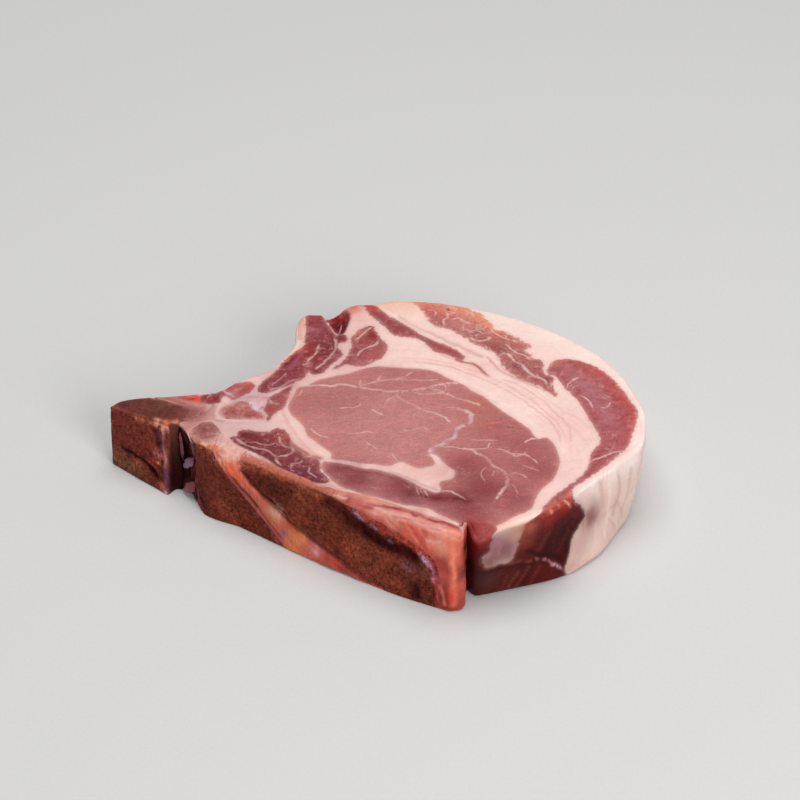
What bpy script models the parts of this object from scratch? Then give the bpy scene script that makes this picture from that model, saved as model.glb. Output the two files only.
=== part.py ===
"""A raw pork chop with its bones in, lying on one of its two cut faces.

The chop is one slice off the fore end of the loin, so every piece in it is a slab of that
slice and runs through its whole thickness. The slice is lofted once, from the outline of
its top face to the outline of its foot, and each piece is the part of the slice that lies
on one side of a dividing line:

  meat              the eye, the smaller muscles and the fat between them
  fat_cap           the layer of back fat that wraps the right flank
  vertebral_body    the half of the backbone's body that the saw left, at the left tip
  lamina            the arch of the same vertebra, with the root of its spinous process
  ligament          the slanting band between the two spinous processes
  spinous_process   the flat bone that fills most of the long sawn face
  cartilage_tip     the rounded, gristly end of that process

+X runs along the slice, +Y points away from the sawn face's rounded end, +Z is up, and the
origin is under the middle of the slice, on the surface it lies on. The tables below are in
millimetres, measured from the middle of the loin eye.
"""
import math

import bmesh
import bpy
import numpy as np
from mathutils import Matrix, Vector

MM = 0.001
GAP = 0.3                       # between two neighbouring pieces

# The slice: a slightly uneven thickness, as a hand-held cut leaves it
THICKNESS = 28.0                # over the middle of the loin eye
RISE_X = 0.025                  # the top face climbs to the right
RISE_Y = -0.05                  # and towards the front
MIDDLE = (0.2, 1.7)             # the middle of the slice, seen from the loin eye
SAG_AT = (33.0, -62.5)          # where the front corner of the meat has slumped
SAG_DEPTH = 4.5
SAG_WIDTH = 5.0

OUTLINE_STEP = 2.7              # between two points of a smoothed line
ROUND_STEPS = 2                 # facets of a rounded edge
SIDE_LEVELS = (0.25, 0.5, 0.75)  # shares of the height where the side has a ring

# The long sawn face of the processes is a plane that starts at the canal
SAW_START = (-61.0, -11.0)
SAW_ANGLE = math.radians(-32.0)

# The outline of the slice, as stretches that run anticlockwise and meet at corners.
# A stretch: name, rounding of its top edge, rounding of its foot, how far the side swells
# out at half its height, and its points. A point is x, y on the top face, and how far the
# side leans from there to the foot in x and y.
STRETCHES = (
    ("sawn vertebra", 0.6, 0.6, 0.0, (
        (-90.3, 8.7, -0.4, -0.7), (-80.4, 4.0, 0.4, -5.0), (-70.2, -1.2, -0.7, -7.0))),
    ("canal, left wall", 0.5, 0.5, 0.0, (
        (-70.2, -1.2, -0.7, -7.0), (-69.2, -0.8, 1.0, -4.4))),
    ("canal, back wall", 0.5, 0.5, -2.4, (
        (-69.2, -0.8, 1.0, -4.4), (-66.4, -1.2, 0.9, -4.2),
        (-63.8, -5.8, 1.1, -0.4), (-61.0, -11.0, 0.5, -1.6))),
    ("sawn processes", 0.5, 0.6, 0.0, (
        (-61.0, -11.0, 0.5, -1.6), (-57.0, -13.6, -0.8, -4.6), (-46.7, -19.9, 0.0, -4.0),
        (-31.0, -30.0, 0.0, -4.4), (-14.6, -40.9, 0.0, -4.0), (8.2, -54.3, 0.0, -4.0),
        (24.0, -64.2, 0.2, -1.2))),
    ("rounded end", 0.8, 0.6, 0.0, (
        (24.0, -64.2, 0.2, -1.2), (27.2, -64.4, 1.0, -0.2), (28.6, -61.6, 1.0, 0.4),
        (28.8, -58.8, 0.2, 0.4), (29.9, -56.2, 0.4, 0.8))),
    ("front corner", 1.6, 1.0, 0.4, (
        (29.9, -56.2, 0.4, 0.8), (31.6, -60.2, 1.0, 2.2), (33.8, -61.8, 0.6, 3.8),
        (38.0, -60.8, 0.8, 4.0), (46.5, -57.4, 0.6, 3.1), (56.5, -50.6, 0.4, -0.6),
        (65.0, -41.8, 1.4, -5.0))),
    ("flank", 1.4, 2.2, 0.6, (
        (65.0, -41.8, 1.4, -5.0), (73.9, -32.9, 1.4, -5.4), (82.0, -25.4, 0.0, -0.8),
        (88.2, -19.2, -2.6, 0.2), (90.4, -10.0, -2.6, 1.0), (90.8, -1.0, -1.2, 1.0),
        (89.0, 8.0, 1.0, 1.4), (83.3, 23.4, 0.8, 1.0))),
    ("back fat", 1.6, 2.0, 0.8, (
        (83.3, 23.4, 0.8, 1.0), (76.1, 34.4, 0.6, 0.8), (66.2, 44.2, 0.4, 0.4),
        (52.6, 54.2, 0.2, 0.2), (38.3, 61.1, 0.2, 0.4), (23.2, 66.2, 0.2, 0.4),
        (9.5, 68.1, 0.0, 0.2), (2.0, 67.2, 0.0, 0.2), (-2.4, 65.9, 0.0, 0.2))),
    ("belly end", 1.2, 1.2, 0.4, (
        (-2.4, 65.9, 0.0, 0.2), (-6.6, 66.2, 0.0, 0.2), (-11.4, 63.6, 0.0, 0.6),
        (-15.0, 59.4, 0.0, 1.6), (-17.6, 58.4, 0.0, 1.8), (-19.3, 60.4, 0.0, 0.6))),
    ("rib side", 1.0, 1.2, 0.4, (
        (-19.3, 60.4, 0.0, 0.6), (-22.6, 60.2, 0.0, 0.4), (-25.8, 59.4, 0.0, 0.2),
        (-28.0, 54.4, 0.0, 0.0), (-28.2, 49.6, 0.0, 0.0), (-28.4, 43.8, 0.0, 0.0),
        (-30.6, 38.0, 0.0, 0.0), (-33.6, 33.2, 0.0, 0.4), (-36.0, 29.2, 0.0, 0.8),
        (-42.4, 24.8, 0.0, 0.8), (-48.4, 21.4, 0.0, 0.6), (-52.2, 17.4, 0.0, 0.4),
        (-60.0, 15.6, 0.0, 0.2))),
    ("back of the vertebra", 1.4, 1.6, 0.3, (
        (-60.0, 15.6, 0.0, 0.2), (-72.0, 14.6, 0.0, 0.0), (-84.0, 13.5, 0.0, 0.0),
        (-88.4, 11.5, -0.4, -0.2), (-90.3, 8.7, -0.4, -0.7))),
)

# Dividing lines seen from above, with their lean. Both ends lie outside the slice.
VERTEBRA_LINE = (
    (-66.2, -9.0, 0.0, 0.0), (-66.1, -1.0, 0.0, 0.0), (-62.6, 0.2, 0.0, 0.0),
    (-59.2, 2.6, 0.0, 0.0), (-59.6, 6.4, 0.0, 0.0), (-65.0, 10.0, 0.0, 0.0),
    (-72.0, 12.2, 0.0, 0.0), (-79.0, 17.5, 0.0, 0.0))
PROCESS_LINE = (
    (-64.2, -11.0, 0.0, 0.0), (-61.4, -4.6, 0.0, 0.0), (-58.4, -0.8, 0.0, 0.0),
    (-54.8, -1.0, 0.0, 0.0), (-52.4, -5.4, 0.0, 0.0), (-49.4, -11.8, 0.0, 0.0),
    (-42.0, -17.2, 0.0, 0.0), (-12.6, -36.0, 0.0, 0.0), (10.0, -49.0, 0.0, 0.0),
    (23.4, -56.4, 0.0, 0.0), (30.2, -58.8, 0.0, 0.0))
FAT_LINE = (
    (31.0, 68.0, 0.0, 0.0), (34.6, 61.4, 0.0, 0.0), (38.4, 56.4, 0.0, 0.0),
    (41.0, 50.4, 0.0, 0.0), (48.4, 43.4, 0.0, 0.0), (54.4, 36.6, 0.0, 0.0),
    (59.6, 31.4, 0.0, 0.0), (68.4, 30.4, 0.6, 0.6), (75.6, 26.0, 1.0, 1.0),
    (82.4, 15.8, 1.0, 1.2), (87.2, 4.0, 0.4, 1.2), (88.0, -5.0, -1.2, 0.8),
    (86.6, -14.4, -2.0, 0.2), (80.2, -22.4, 0.2, -1.2), (72.2, -30.8, 1.2, -5.2),
    (64.4, -38.6, 1.2, -4.8), (61.2, -43.2, 1.0, -3.4), (58.0, -54.0, 0.0, -2.0))

# The corners that close each of those lines around its own side of the slice
VERTEBRA_CORNERS = ((-100.0, 17.5), (-100.0, -12.0), (-66.2, -12.0))
PROCESS_CORNERS = ((30.2, -76.0), (-64.2, -76.0))
FAT_CORNERS = ((70.0, -60.0), (100.0, -30.0), (100.0, 70.0), (31.0, 75.0))

# Dividing lines on the sawn face: distance along it from the canal, and height
LIGAMENT_LOWER = ((6.6, 36.0), (8.2, 28.0), (10.4, 24.4), (14.6, 19.6), (20.6, 13.8),
                  (26.6, 8.6), (32.0, 3.6), (40.0, -6.0))
LIGAMENT_UPPER = ((20.4, 36.0), (18.6, 28.0), (18.8, 24.4), (22.6, 20.0), (28.6, 15.6),
                  (36.6, 10.8), (44.6, 7.4), (56.6, 4.6), (68.0, 2.2), (84.0, -6.0))
CARTILAGE_LOWER = ((53.0, 36.0), (59.0, 28.4), (67.6, 25.2), (77.6, 22.4), (87.0, 20.2),
                   (93.0, 16.4), (94.6, 10.4), (92.6, 3.4), (89.0, -6.0))
CARTILAGE_END = ((108.0, 36.0), (106.4, 18.0), (105.0, 9.0), (102.6, 3.0), (98.6, -1.0),
                 (94.0, -6.0))
FACE_START = ((-12.0, -6.0), (-12.0, 36.0))
FACE_FRONT = 14.0               # how far a block on the sawn face reaches out of it
FACE_DEPTH = 24.0               # and into it

MATERIALS = {
    "meat": ((0.42, 0.14, 0.13), 0.38),
    "fat_cap": ((0.86, 0.70, 0.60), 0.42),
    "vertebral_body": ((0.24, 0.085, 0.055), 0.55),
    "lamina": ((0.21, 0.075, 0.045), 0.58),
    "ligament": ((0.62, 0.20, 0.12), 0.34),
    "spinous_process": ((0.19, 0.068, 0.040), 0.58),
    "cartilage_tip": ((0.68, 0.26, 0.16), 0.32),
}


def fresh_scene():
    """Empty the scene and add one collection for the pieces and one for their cutters."""
    for found in list(bpy.data.objects):
        bpy.data.objects.remove(found, do_unlink=True)
    made = []
    for name in ("pork_chop", "cutters"):
        collection = bpy.data.collections.new(name)
        bpy.context.scene.collection.children.link(collection)
        made.append(collection)
    return made


def smooth_line(points, step=OUTLINE_STEP):
    """A line of even steps through the points: a centripetal Catmull-Rom curve.

    The points may have any number of values. The first two give the distances.
    """
    rows = np.asarray(points, float)
    rows = np.vstack((2 * rows[0] - rows[1], rows, 2 * rows[-1] - rows[-2]))
    knots = np.concatenate(([0.0], np.cumsum(
        np.sqrt(np.linalg.norm(np.diff(rows[:, :2], axis=0), axis=1)))))
    fine = []
    for i in range(1, len(rows) - 2):
        for t in np.linspace(knots[i], knots[i + 1], 24, endpoint=False):
            fine.append(catmull_rom(rows[i - 1:i + 3], knots[i - 1:i + 3], t))
    fine.append(rows[-2])
    fine = np.array(fine)
    along = np.concatenate(([0.0], np.cumsum(
        np.linalg.norm(np.diff(fine[:, :2], axis=0), axis=1))))
    count = max(2, round(along[-1] / step) + 1)
    at = np.linspace(0.0, along[-1], count)
    return np.column_stack([np.interp(at, along, column) for column in fine.T])


def catmull_rom(rows, knots, t):
    """The curve's point at t, by the Barry and Goldman pyramid of linear blends."""
    level = list(rows)
    for depth in (1, 2, 3):
        level = [
            ((knots[i + depth] - t) * level[i] + (t - knots[i]) * level[i + 1])
            / (knots[i + depth] - knots[i])
            for i in range(len(level) - 1)]
    return level[0]


def top_height(x, y):
    """The height of the top face: a sloping plane, less the slump of the front corner."""
    slump = np.exp(-((x - SAG_AT[0]) ** 2 + (y - SAG_AT[1]) ** 2) / SAG_WIDTH ** 2)
    return THICKNESS + RISE_X * x + RISE_Y * y - SAG_DEPTH * slump


def inward(line):
    """Unit vectors that point into a closed anticlockwise line, one at each point."""
    tangent = np.roll(line, -1, axis=0) - np.roll(line, 1, axis=0)
    tangent /= np.linalg.norm(tangent, axis=1)[:, None]
    return np.column_stack((-tangent[:, 1], tangent[:, 0]))


def slice_outline():
    """All stretches in one closed line: x, y, lean in x and y, both roundings, the bulge."""
    pieces = []
    for _name, top_round, foot_round, bulge, points in STRETCHES:
        line = smooth_line(points)[:-1]
        habits = np.tile((top_round, foot_round, bulge), (len(line), 1))
        pieces.append(np.hstack((line, habits)))
    rows = np.vstack(pieces)
    for _pass in range(2):
        habits = rows[:, 4:]
        rows[:, 4:] = (np.roll(habits, 1, axis=0) + habits + np.roll(habits, -1, axis=0)) / 3
    return rows


def slice_rings():
    """Closed rings of the slice's side from the foot up, with both edges rounded."""
    rows = slice_outline()
    top = rows[:, :2]
    height = top_height(top[:, 0], top[:, 1])
    foot_edge = []
    top_edge = []
    for step in range(ROUND_STEPS + 1):
        angle = 0.5 * math.pi * step / ROUND_STEPS
        inset = 1 - math.sin(angle)
        rise = 1 - math.cos(angle)
        foot_edge.append(side_ring(rows, height, rows[:, 5] * rise, rows[:, 5] * inset))
        top_edge.append(side_ring(rows, height, height - rows[:, 4] * rise, rows[:, 4] * inset))
    middle = [side_ring(rows, height, height * share, 0.0) for share in SIDE_LEVELS]
    return foot_edge + middle + top_edge[::-1]


def side_ring(rows, height, level, inset):
    """The side's line at a level, pushed in by the inset and out by the side's bulge."""
    share = level / height
    foot = rows[:, :2] + rows[:, 2:4]
    line = foot + (rows[:, :2] - foot) * share[:, None]
    push = inset - rows[:, 6] * np.sin(math.pi * share)
    line = line + inward(line) * push[:, None]
    return np.column_stack((line - MIDDLE, level))


def loft_mesh(name, rings):
    """A closed mesh through rings of the same number of points, capped at both ends."""
    mesh = bmesh.new()
    made = [[mesh.verts.new(Vector(point) * MM) for point in ring] for ring in rings]
    for lower, upper in zip(made, made[1:]):
        for i, start in enumerate(lower):
            k = (i + 1) % len(lower)
            mesh.faces.new((start, lower[k], upper[k], upper[i]))
    mesh.faces.new(made[0][::-1])
    mesh.faces.new(made[-1])
    mesh.normal_update()
    bmesh.ops.triangulate(mesh, faces=[face for face in mesh.faces if len(face.verts) > 4])
    bmesh.ops.recalc_face_normals(mesh, faces=mesh.faces)
    data = bpy.data.meshes.new(name)
    mesh.to_mesh(data)
    mesh.free()
    return data


def cutter(name, data, collection):
    """An object that only cuts: kept out of renders and drawn as wire."""
    made = bpy.data.objects.new(name, data)
    made.hide_render = True
    made.display_type = "WIRE"
    collection.objects.link(made)
    return made


def shifted(line, distance):
    """The line moved sideways, to its left for a positive distance."""
    tangent = np.gradient(line[:, :2], axis=0)
    tangent /= np.linalg.norm(tangent, axis=1)[:, None]
    moved = line.copy()
    moved[:, 0] -= tangent[:, 1] * distance
    moved[:, 1] += tangent[:, 0] * distance
    return moved


def slab_cutter(name, points, corners, distance, collection):
    """An upright cutter on one side of a dividing line, which follows the line's lean."""
    line = shifted(smooth_line(points), distance)
    ends = np.hstack((np.array(corners), np.zeros((len(corners), 2))))
    rows = np.vstack((line, ends))
    rings = []
    for level in (-6.0, THICKNESS + 10.0):
        lean = 1 - level / THICKNESS
        flat = rows[:, :2] + rows[:, 2:] * lean - MIDDLE
        rings.append(np.column_stack((flat, np.full(len(flat), level))))
    return cutter(name, loft_mesh(name, rings), collection)


def face_cutter(name, outline, collection):
    """A block that stands on the sawn face: a flat outline, extruded into the slice."""
    curve = bpy.data.curves.new(name, "CURVE")
    curve.dimensions = "2D"
    curve.fill_mode = "BOTH"
    curve.extrude = 0.5 * (FACE_FRONT + FACE_DEPTH) * MM
    spline = curve.splines.new("POLY")
    spline.points.add(len(outline) - 1)
    for point, (along, height) in zip(spline.points, outline):
        point.co = (along * MM, height * MM, 0.0, 1.0)
    spline.use_cyclic_u = True
    flat = bpy.data.objects.new(name + "_curve", curve)
    collection.objects.link(flat)
    bpy.context.view_layer.update()
    solid = bpy.data.meshes.new_from_object(
        flat.evaluated_get(bpy.context.evaluated_depsgraph_get()))
    bpy.data.objects.remove(flat, do_unlink=True)
    weld = bmesh.new()
    weld.from_mesh(solid)
    bmesh.ops.remove_doubles(weld, verts=weld.verts, dist=0.00001)
    bmesh.ops.recalc_face_normals(weld, faces=weld.faces)
    weld.to_mesh(solid)
    weld.free()
    made = cutter(name, solid, collection)
    along = Vector((math.cos(SAW_ANGLE), math.sin(SAW_ANGLE), 0.0))
    out = Vector((math.sin(SAW_ANGLE), -math.cos(SAW_ANGLE), 0.0))
    start = Vector((SAW_START[0] - MIDDLE[0], SAW_START[1] - MIDDLE[1], 0.0)) * MM
    start += out * 0.5 * (FACE_FRONT - FACE_DEPTH) * MM
    turn = Matrix((along, Vector((0.0, 0.0, 1.0)), out)).transposed()
    made.matrix_world = Matrix.Translation(start) @ turn.to_4x4()
    return made


def face_outline(first, last):
    """The closed outline between two lines of the sawn face, each half a gap inside."""
    lower = smooth_line(first) if len(first) > 2 else np.array(first)
    upper = smooth_line(last) if len(last) > 2 else np.array(last)
    if len(first) > 2:
        lower = shifted(lower, GAP / 2 * heading(lower))
    if len(last) > 2:
        upper = shifted(upper, -GAP / 2 * heading(upper))
    if heading(lower) == heading(upper):
        upper = upper[::-1]
    return np.vstack((lower, upper))


def heading(line):
    """1 for a line that runs downwards, -1 for one that runs upwards."""
    return 1.0 if line[0, 1] > line[-1, 1] else -1.0


def painted(name, color, roughness):
    """The piece's own material."""
    material = bpy.data.materials.new(name)
    material.use_nodes = True
    shader = material.node_tree.nodes["Principled BSDF"]
    shader.inputs["Base Color"].default_value = (*color, 1.0)
    shader.inputs["Roughness"].default_value = roughness
    material.diffuse_color = (*color, 1.0)
    return material


def piece(name, form, cuts, collection):
    """One piece of the slice: its whole form, kept or cut by each (operation, cutter)."""
    made = bpy.data.objects.new(name, form.copy())
    made.data.name = name
    collection.objects.link(made)
    for operation, tool in cuts:
        modifier = made.modifiers.new(tool.name, "BOOLEAN")
        modifier.operation = operation
        modifier.solver = "EXACT"
        modifier.object = tool
    made.data.materials.append(painted(name, *MATERIALS[name]))
    return made


def build():
    """Loft the slice, make the dividing cutters and keep each piece's side of them."""
    chop, tools = fresh_scene()
    form = loft_mesh("slice", slice_rings())
    sides = {
        "vertebra": (VERTEBRA_LINE, VERTEBRA_CORNERS, 1.0),
        "process": (PROCESS_LINE, PROCESS_CORNERS, -1.0),
        "fat": (FAT_LINE, FAT_CORNERS, 1.0),
    }
    kept = {}
    taken = []
    for name, (line, corners, side) in sides.items():
        kept[name] = slab_cutter(name + "_side", line, corners, side * GAP / 2, tools)
        taken.append(slab_cutter(name + "_room", line, corners, -side * GAP / 2, tools))
    piece("meat", form, [("DIFFERENCE", tool) for tool in taken], chop)
    piece("fat_cap", form, [("INTERSECT", kept["fat"])], chop)
    piece("vertebral_body", form, [("INTERSECT", kept["vertebra"])], chop)
    bands = {
        "lamina": (FACE_START, LIGAMENT_LOWER),
        "ligament": (LIGAMENT_LOWER, LIGAMENT_UPPER),
        "spinous_process": (LIGAMENT_UPPER, CARTILAGE_LOWER),
        "cartilage_tip": (CARTILAGE_LOWER, CARTILAGE_END),
    }
    for name, (first, last) in bands.items():
        block = face_cutter(name + "_band", face_outline(first, last), tools)
        piece(name, form, [("INTERSECT", kept["process"]), ("INTERSECT", block)], chop)


build()
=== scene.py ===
"""A raw pork chop with its bones in, lying on one of its two cut faces on a pale studio floor.

Lengths in the tables are millimetres from the middle of the loin eye, as on a cutting plan:
x runs along the slice, y away from the sawn backbone, z up from the foot.
"""

import bpy
import numpy as np
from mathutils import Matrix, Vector


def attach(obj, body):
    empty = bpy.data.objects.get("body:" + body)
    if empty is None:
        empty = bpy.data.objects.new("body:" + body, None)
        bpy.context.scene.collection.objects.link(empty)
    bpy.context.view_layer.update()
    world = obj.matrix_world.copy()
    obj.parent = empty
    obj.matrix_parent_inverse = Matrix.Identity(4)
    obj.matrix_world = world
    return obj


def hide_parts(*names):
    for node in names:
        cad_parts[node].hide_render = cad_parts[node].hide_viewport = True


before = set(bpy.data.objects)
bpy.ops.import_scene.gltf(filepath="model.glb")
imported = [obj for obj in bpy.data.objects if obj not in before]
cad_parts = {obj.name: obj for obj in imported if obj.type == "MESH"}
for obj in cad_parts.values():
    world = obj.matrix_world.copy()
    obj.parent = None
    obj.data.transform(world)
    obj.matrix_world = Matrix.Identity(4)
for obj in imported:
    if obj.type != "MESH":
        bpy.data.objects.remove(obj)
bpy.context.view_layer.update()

# ------------------------------------------------------------------ the studio
# A long lens looks down on the chop at forty degrees, over a matt pale floor. A broad soft
# box hangs above and behind it, so the cut face is bright and the sawn side is in shade.
MM = 0.001


def shade(red, green, blue):
    """A colour as the eye reads it, 0 to 255, turned into the light that it sends back."""
    share = np.array((red, green, blue)) / 255.0
    return np.where(share <= 0.04045, share / 12.92, ((share + 0.055) / 1.055) ** 2.4)


def soft_box(name, place, target, size, watts, color):
    """A rectangular lamp at a place, turned to face its target."""
    lamp = bpy.data.lights.new(name, "AREA")
    lamp.shape = "RECTANGLE"
    lamp.size, lamp.size_y = size
    lamp.energy = watts
    lamp.color = color
    held = bpy.data.objects.new(name, lamp)
    bpy.context.scene.collection.objects.link(held)
    held.location = place
    aim = Vector(target) - Vector(place)
    held.rotation_euler = aim.to_track_quat("-Z", "Y").to_euler()
    return held


def node(tree, kind, inputs=None, **settings):
    """A shader node of a kind, with its settings, and each input set to a value or linked."""
    made = tree.nodes.new("ShaderNode" + kind)
    for name, value in settings.items():
        setattr(made, name, value)
    for key, value in (inputs or {}).items():
        if isinstance(value, bpy.types.NodeSocket):
            tree.links.new(value, made.inputs[key])
        else:
            made.inputs[key].default_value = value
    return made


LENS_TILT = 50.0
lens = bpy.data.cameras.new("lens")
lens.lens = 144.0
lens.sensor_width = 36.0
camera = bpy.data.objects.new("camera", lens)
bpy.context.scene.collection.objects.link(camera)
camera.location = (0.0080, -0.82437, 0.72596)
camera.rotation_euler = (np.radians(LENS_TILT), 0.0, 0.0)
bpy.context.scene.camera = camera
bpy.context.scene.view_settings.view_transform = "Standard"

FLOOR_HALF = 3.0
paper = bpy.data.meshes.new("floor")
paper.from_pydata(
    [(-FLOOR_HALF, -FLOOR_HALF, 0), (FLOOR_HALF, -FLOOR_HALF, 0),
     (FLOOR_HALF, FLOOR_HALF, 0), (-FLOOR_HALF, FLOOR_HALF, 0)], [], [(0, 1, 2, 3)])
floor = bpy.data.objects.new("floor", paper)
bpy.context.scene.collection.objects.link(floor)
matt = bpy.data.materials.new("matt_paper")
matt.use_nodes = True
tree = matt.node_tree
paint = tree.nodes["Principled BSDF"]
spot = node(tree, "TexCoord")
fleck = node(tree, "TexNoise", {"Vector": spot.outputs["Object"], "Scale": 900.0, "Detail": 3.0})
tone = node(tree, "MapRange", {"Value": fleck.outputs["Fac"], "To Min": 0.60, "To Max": 0.66})
tree.links.new(tone.outputs[0], paint.inputs["Base Color"])
paint.inputs["Roughness"].default_value = 0.9
paper.materials.append(matt)

world = bpy.data.worlds.new("studio_air")
bpy.context.scene.world = world
world.use_nodes = True
world.node_tree.nodes["Background"].inputs["Color"].default_value = (0.92, 0.96, 1.0, 1.0)
world.node_tree.nodes["Background"].inputs["Strength"].default_value = 0.26
soft_box("top_box", (0.00, 0.10, 1.20), (0.0, 0.0, 0.0), (0.9, 0.8), 10.0, (1.0, 0.98, 0.95))
soft_box("front_box", (0.60, -1.00, 0.70), (0.0, 0.0, 0.0), (0.7, 0.7), 10.0, (1.0, 0.98, 0.96))

# ------------------------------------------------------------------ the meat and its fat
# One slab of flesh: the loin eye, the small muscles round it, the fat between them and the
# back fat that wraps the right flank. It is cut with a knife, so its side leans a little.
THICKNESS = 28.0
RISE_X = 0.025
RISE_Y = -0.05
MIDDLE = (0.2, 1.7)
SAG_AT = (33.0, -62.5)
SAG_DEPTH = 4.5
SAG_WIDTH = 5.0

# The outline of the slice, in stretches that run anticlockwise: rounding of the top edge, of
# the foot, swell of the side, and points: x, y on the top face, lean from there to the foot.
STRETCHES = {
    "sawn vertebra": (0.6, 0.6, 0.0, (
        (-90.3, 8.7, -0.4, -0.7), (-80.4, 4.0, 0.4, -5.0), (-70.2, -1.2, -0.7, -7.0))),
    "canal, left wall": (0.5, 0.5, 0.0, (
        (-70.2, -1.2, -0.7, -7.0), (-69.2, -0.8, 1.0, -4.4))),
    "canal, back wall": (0.5, 0.5, -2.4, (
        (-69.2, -0.8, 1.0, -4.4), (-66.4, -1.2, 0.9, -4.2),
        (-63.8, -5.8, 1.1, -0.4), (-61.0, -11.0, 0.5, -1.6))),
    "sawn processes": (0.9, 0.6, 0.0, (
        (-61.0, -11.0, 0.5, -1.6), (-57.0, -13.6, -0.8, -4.6), (-46.7, -19.9, 0.0, -4.0),
        (-31.0, -30.0, 0.0, -4.4), (-14.6, -40.9, 0.0, -4.0), (8.2, -54.3, 0.0, -4.0),
        (24.0, -64.2, 0.2, -1.2))),
    "rounded end": (0.8, 0.6, 0.0, (
        (24.0, -64.2, 0.2, -1.2), (27.2, -64.4, 1.0, -0.2), (28.6, -61.6, 1.0, 0.4),
        (28.8, -58.8, 0.2, 0.4), (29.9, -56.2, 0.4, 0.8))),
    "front corner": (1.6, 1.0, 0.4, (
        (29.9, -56.2, 0.4, 0.8), (31.6, -60.2, 1.0, 2.2), (33.8, -61.8, 0.6, 3.8),
        (38.0, -60.8, 0.8, 4.0), (46.5, -57.4, 0.6, 3.1), (56.5, -50.6, 0.4, -0.6),
        (65.0, -41.8, 1.4, -5.0))),
    "flank": (1.4, 2.2, 0.6, (
        (65.0, -41.8, 1.4, -5.0), (73.9, -32.9, 1.4, -5.4), (82.0, -25.4, 0.0, -0.8),
        (88.2, -19.2, -2.6, 0.2), (90.4, -10.0, -2.6, 1.0), (90.8, -1.0, -1.2, 1.0),
        (89.0, 8.0, 1.0, 1.4), (83.3, 23.4, 0.8, 1.0))),
    "back fat": (1.6, 2.0, 0.8, (
        (83.3, 23.4, 0.8, 1.0), (76.1, 34.4, 0.6, 0.8), (66.2, 44.2, 0.4, 0.4),
        (52.6, 54.2, 0.2, 0.2), (38.3, 61.1, 0.2, 0.4), (23.2, 66.2, 0.2, 0.4),
        (9.5, 68.1, 0.0, 0.2), (2.0, 67.2, 0.0, 0.2), (-2.4, 65.9, 0.0, 0.2))),
    "belly end": (1.2, 1.2, 0.4, (
        (-2.4, 65.9, 0.0, 0.2), (-6.6, 66.2, 0.0, 0.2), (-11.4, 63.6, 0.0, 0.6),
        (-15.0, 59.4, 0.0, 1.6), (-17.6, 58.4, 0.0, 1.8), (-19.3, 60.4, 0.0, 0.6))),
    "rib side": (1.0, 1.2, 0.4, (
        (-19.3, 60.4, 0.0, 0.6), (-22.6, 60.2, 0.0, 0.4), (-25.8, 59.4, 0.0, 0.2),
        (-28.0, 54.4, 0.0, 0.0), (-28.2, 49.6, 0.0, 0.0), (-28.4, 43.8, 0.0, 0.0),
        (-30.6, 38.0, 0.0, 0.0), (-33.6, 33.2, 0.0, 0.4), (-36.0, 29.2, 0.0, 0.8),
        (-42.4, 24.8, 0.0, 0.8), (-48.4, 21.4, 0.0, 0.6), (-52.2, 17.4, 0.0, 0.4),
        (-60.0, 15.6, 0.0, 0.2))),
    "back of the vertebra": (1.4, 1.6, 0.3, (
        (-60.0, 15.6, 0.0, 0.2), (-72.0, 14.6, 0.0, 0.0), (-84.0, 13.5, 0.0, 0.0),
        (-88.4, 11.5, -0.4, -0.2), (-90.3, 8.7, -0.4, -0.7))),
}


def run_of(rows):
    """How far along its line each row is: the running sum of the plan distances."""
    gaps = np.linalg.norm(np.diff(rows[:, :2], axis=0), axis=1)
    return np.concatenate(([0.0], np.cumsum(gaps)))


def smooth_line(points, step, closed=False):
    """Even steps along a centripetal Catmull-Rom curve: each span is the pyramid of linear
    blends of the four points round it, with knots at the roots of their distances."""
    rows = np.asarray(points, float)
    if closed:
        rows = np.vstack((rows[-1], rows, rows[0], rows[1]))
    else:
        rows = np.vstack((2 * rows[0] - rows[1], rows, 2 * rows[-1] - rows[-2]))
    gaps = np.sqrt(np.linalg.norm(np.diff(rows[:, :2], axis=0), axis=1))
    knots = np.concatenate(([0.0], np.cumsum(gaps)))
    spans = len(rows) - 3
    steps = np.linspace(0.0, 1.0, 24, endpoint=False)
    t = (knots[1:-2, None] + steps * gaps[1:-1, None])[:, :, None]
    level = [rows[i:i + spans, None, :] for i in range(4)]
    for depth in (1, 2, 3):
        starts = [knots[i:i + spans, None, None] for i in range(4 - depth)]
        ends = [knots[i + depth:i + depth + spans, None, None] for i in range(4 - depth)]
        level = [((end - t) * low + (t - start) * high) / (end - start)
                 for start, end, low, high in zip(starts, ends, level, level[1:])]
    fine = np.vstack((level[0].reshape(-1, rows.shape[1]), rows[-2]))
    along = run_of(fine)
    count = max(2, round(along[-1] / step) + 1)
    at = np.linspace(0.0, along[-1], count)
    return np.column_stack([np.interp(at, along, column) for column in fine.T])


OUTLINE_STEP = 0.3


def edged(points, top_round, foot_round, swell):
    """A line of points as rows: x, y, lean in x and y, both roundings, the swell."""
    line = smooth_line(points, OUTLINE_STEP)
    return np.hstack((line, np.tile((top_round, foot_round, swell), (len(line), 1))))


def stretch(name):
    """One stretch of the outline as rows."""
    top_round, foot_round, swell, points = STRETCHES[name]
    return edged(points, top_round, foot_round, swell)


def even_rows(rows, count):
    """A closed line of rows cut into equal steps of its length."""
    rows = np.vstack((rows, rows[0]))
    along = run_of(rows)
    at = np.linspace(0.0, along[-1], count, endpoint=False)
    return np.column_stack([np.interp(at, along, column) for column in rows.T])


def top_height(x, y):
    """The height of the cut face: a sloping plane, less the slump of its front corner."""
    slump = np.exp(-((x - SAG_AT[0]) ** 2 + (y - SAG_AT[1]) ** 2) / SAG_WIDTH ** 2)
    return THICKNESS + RISE_X * x + RISE_Y * y - SAG_DEPTH * slump


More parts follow.
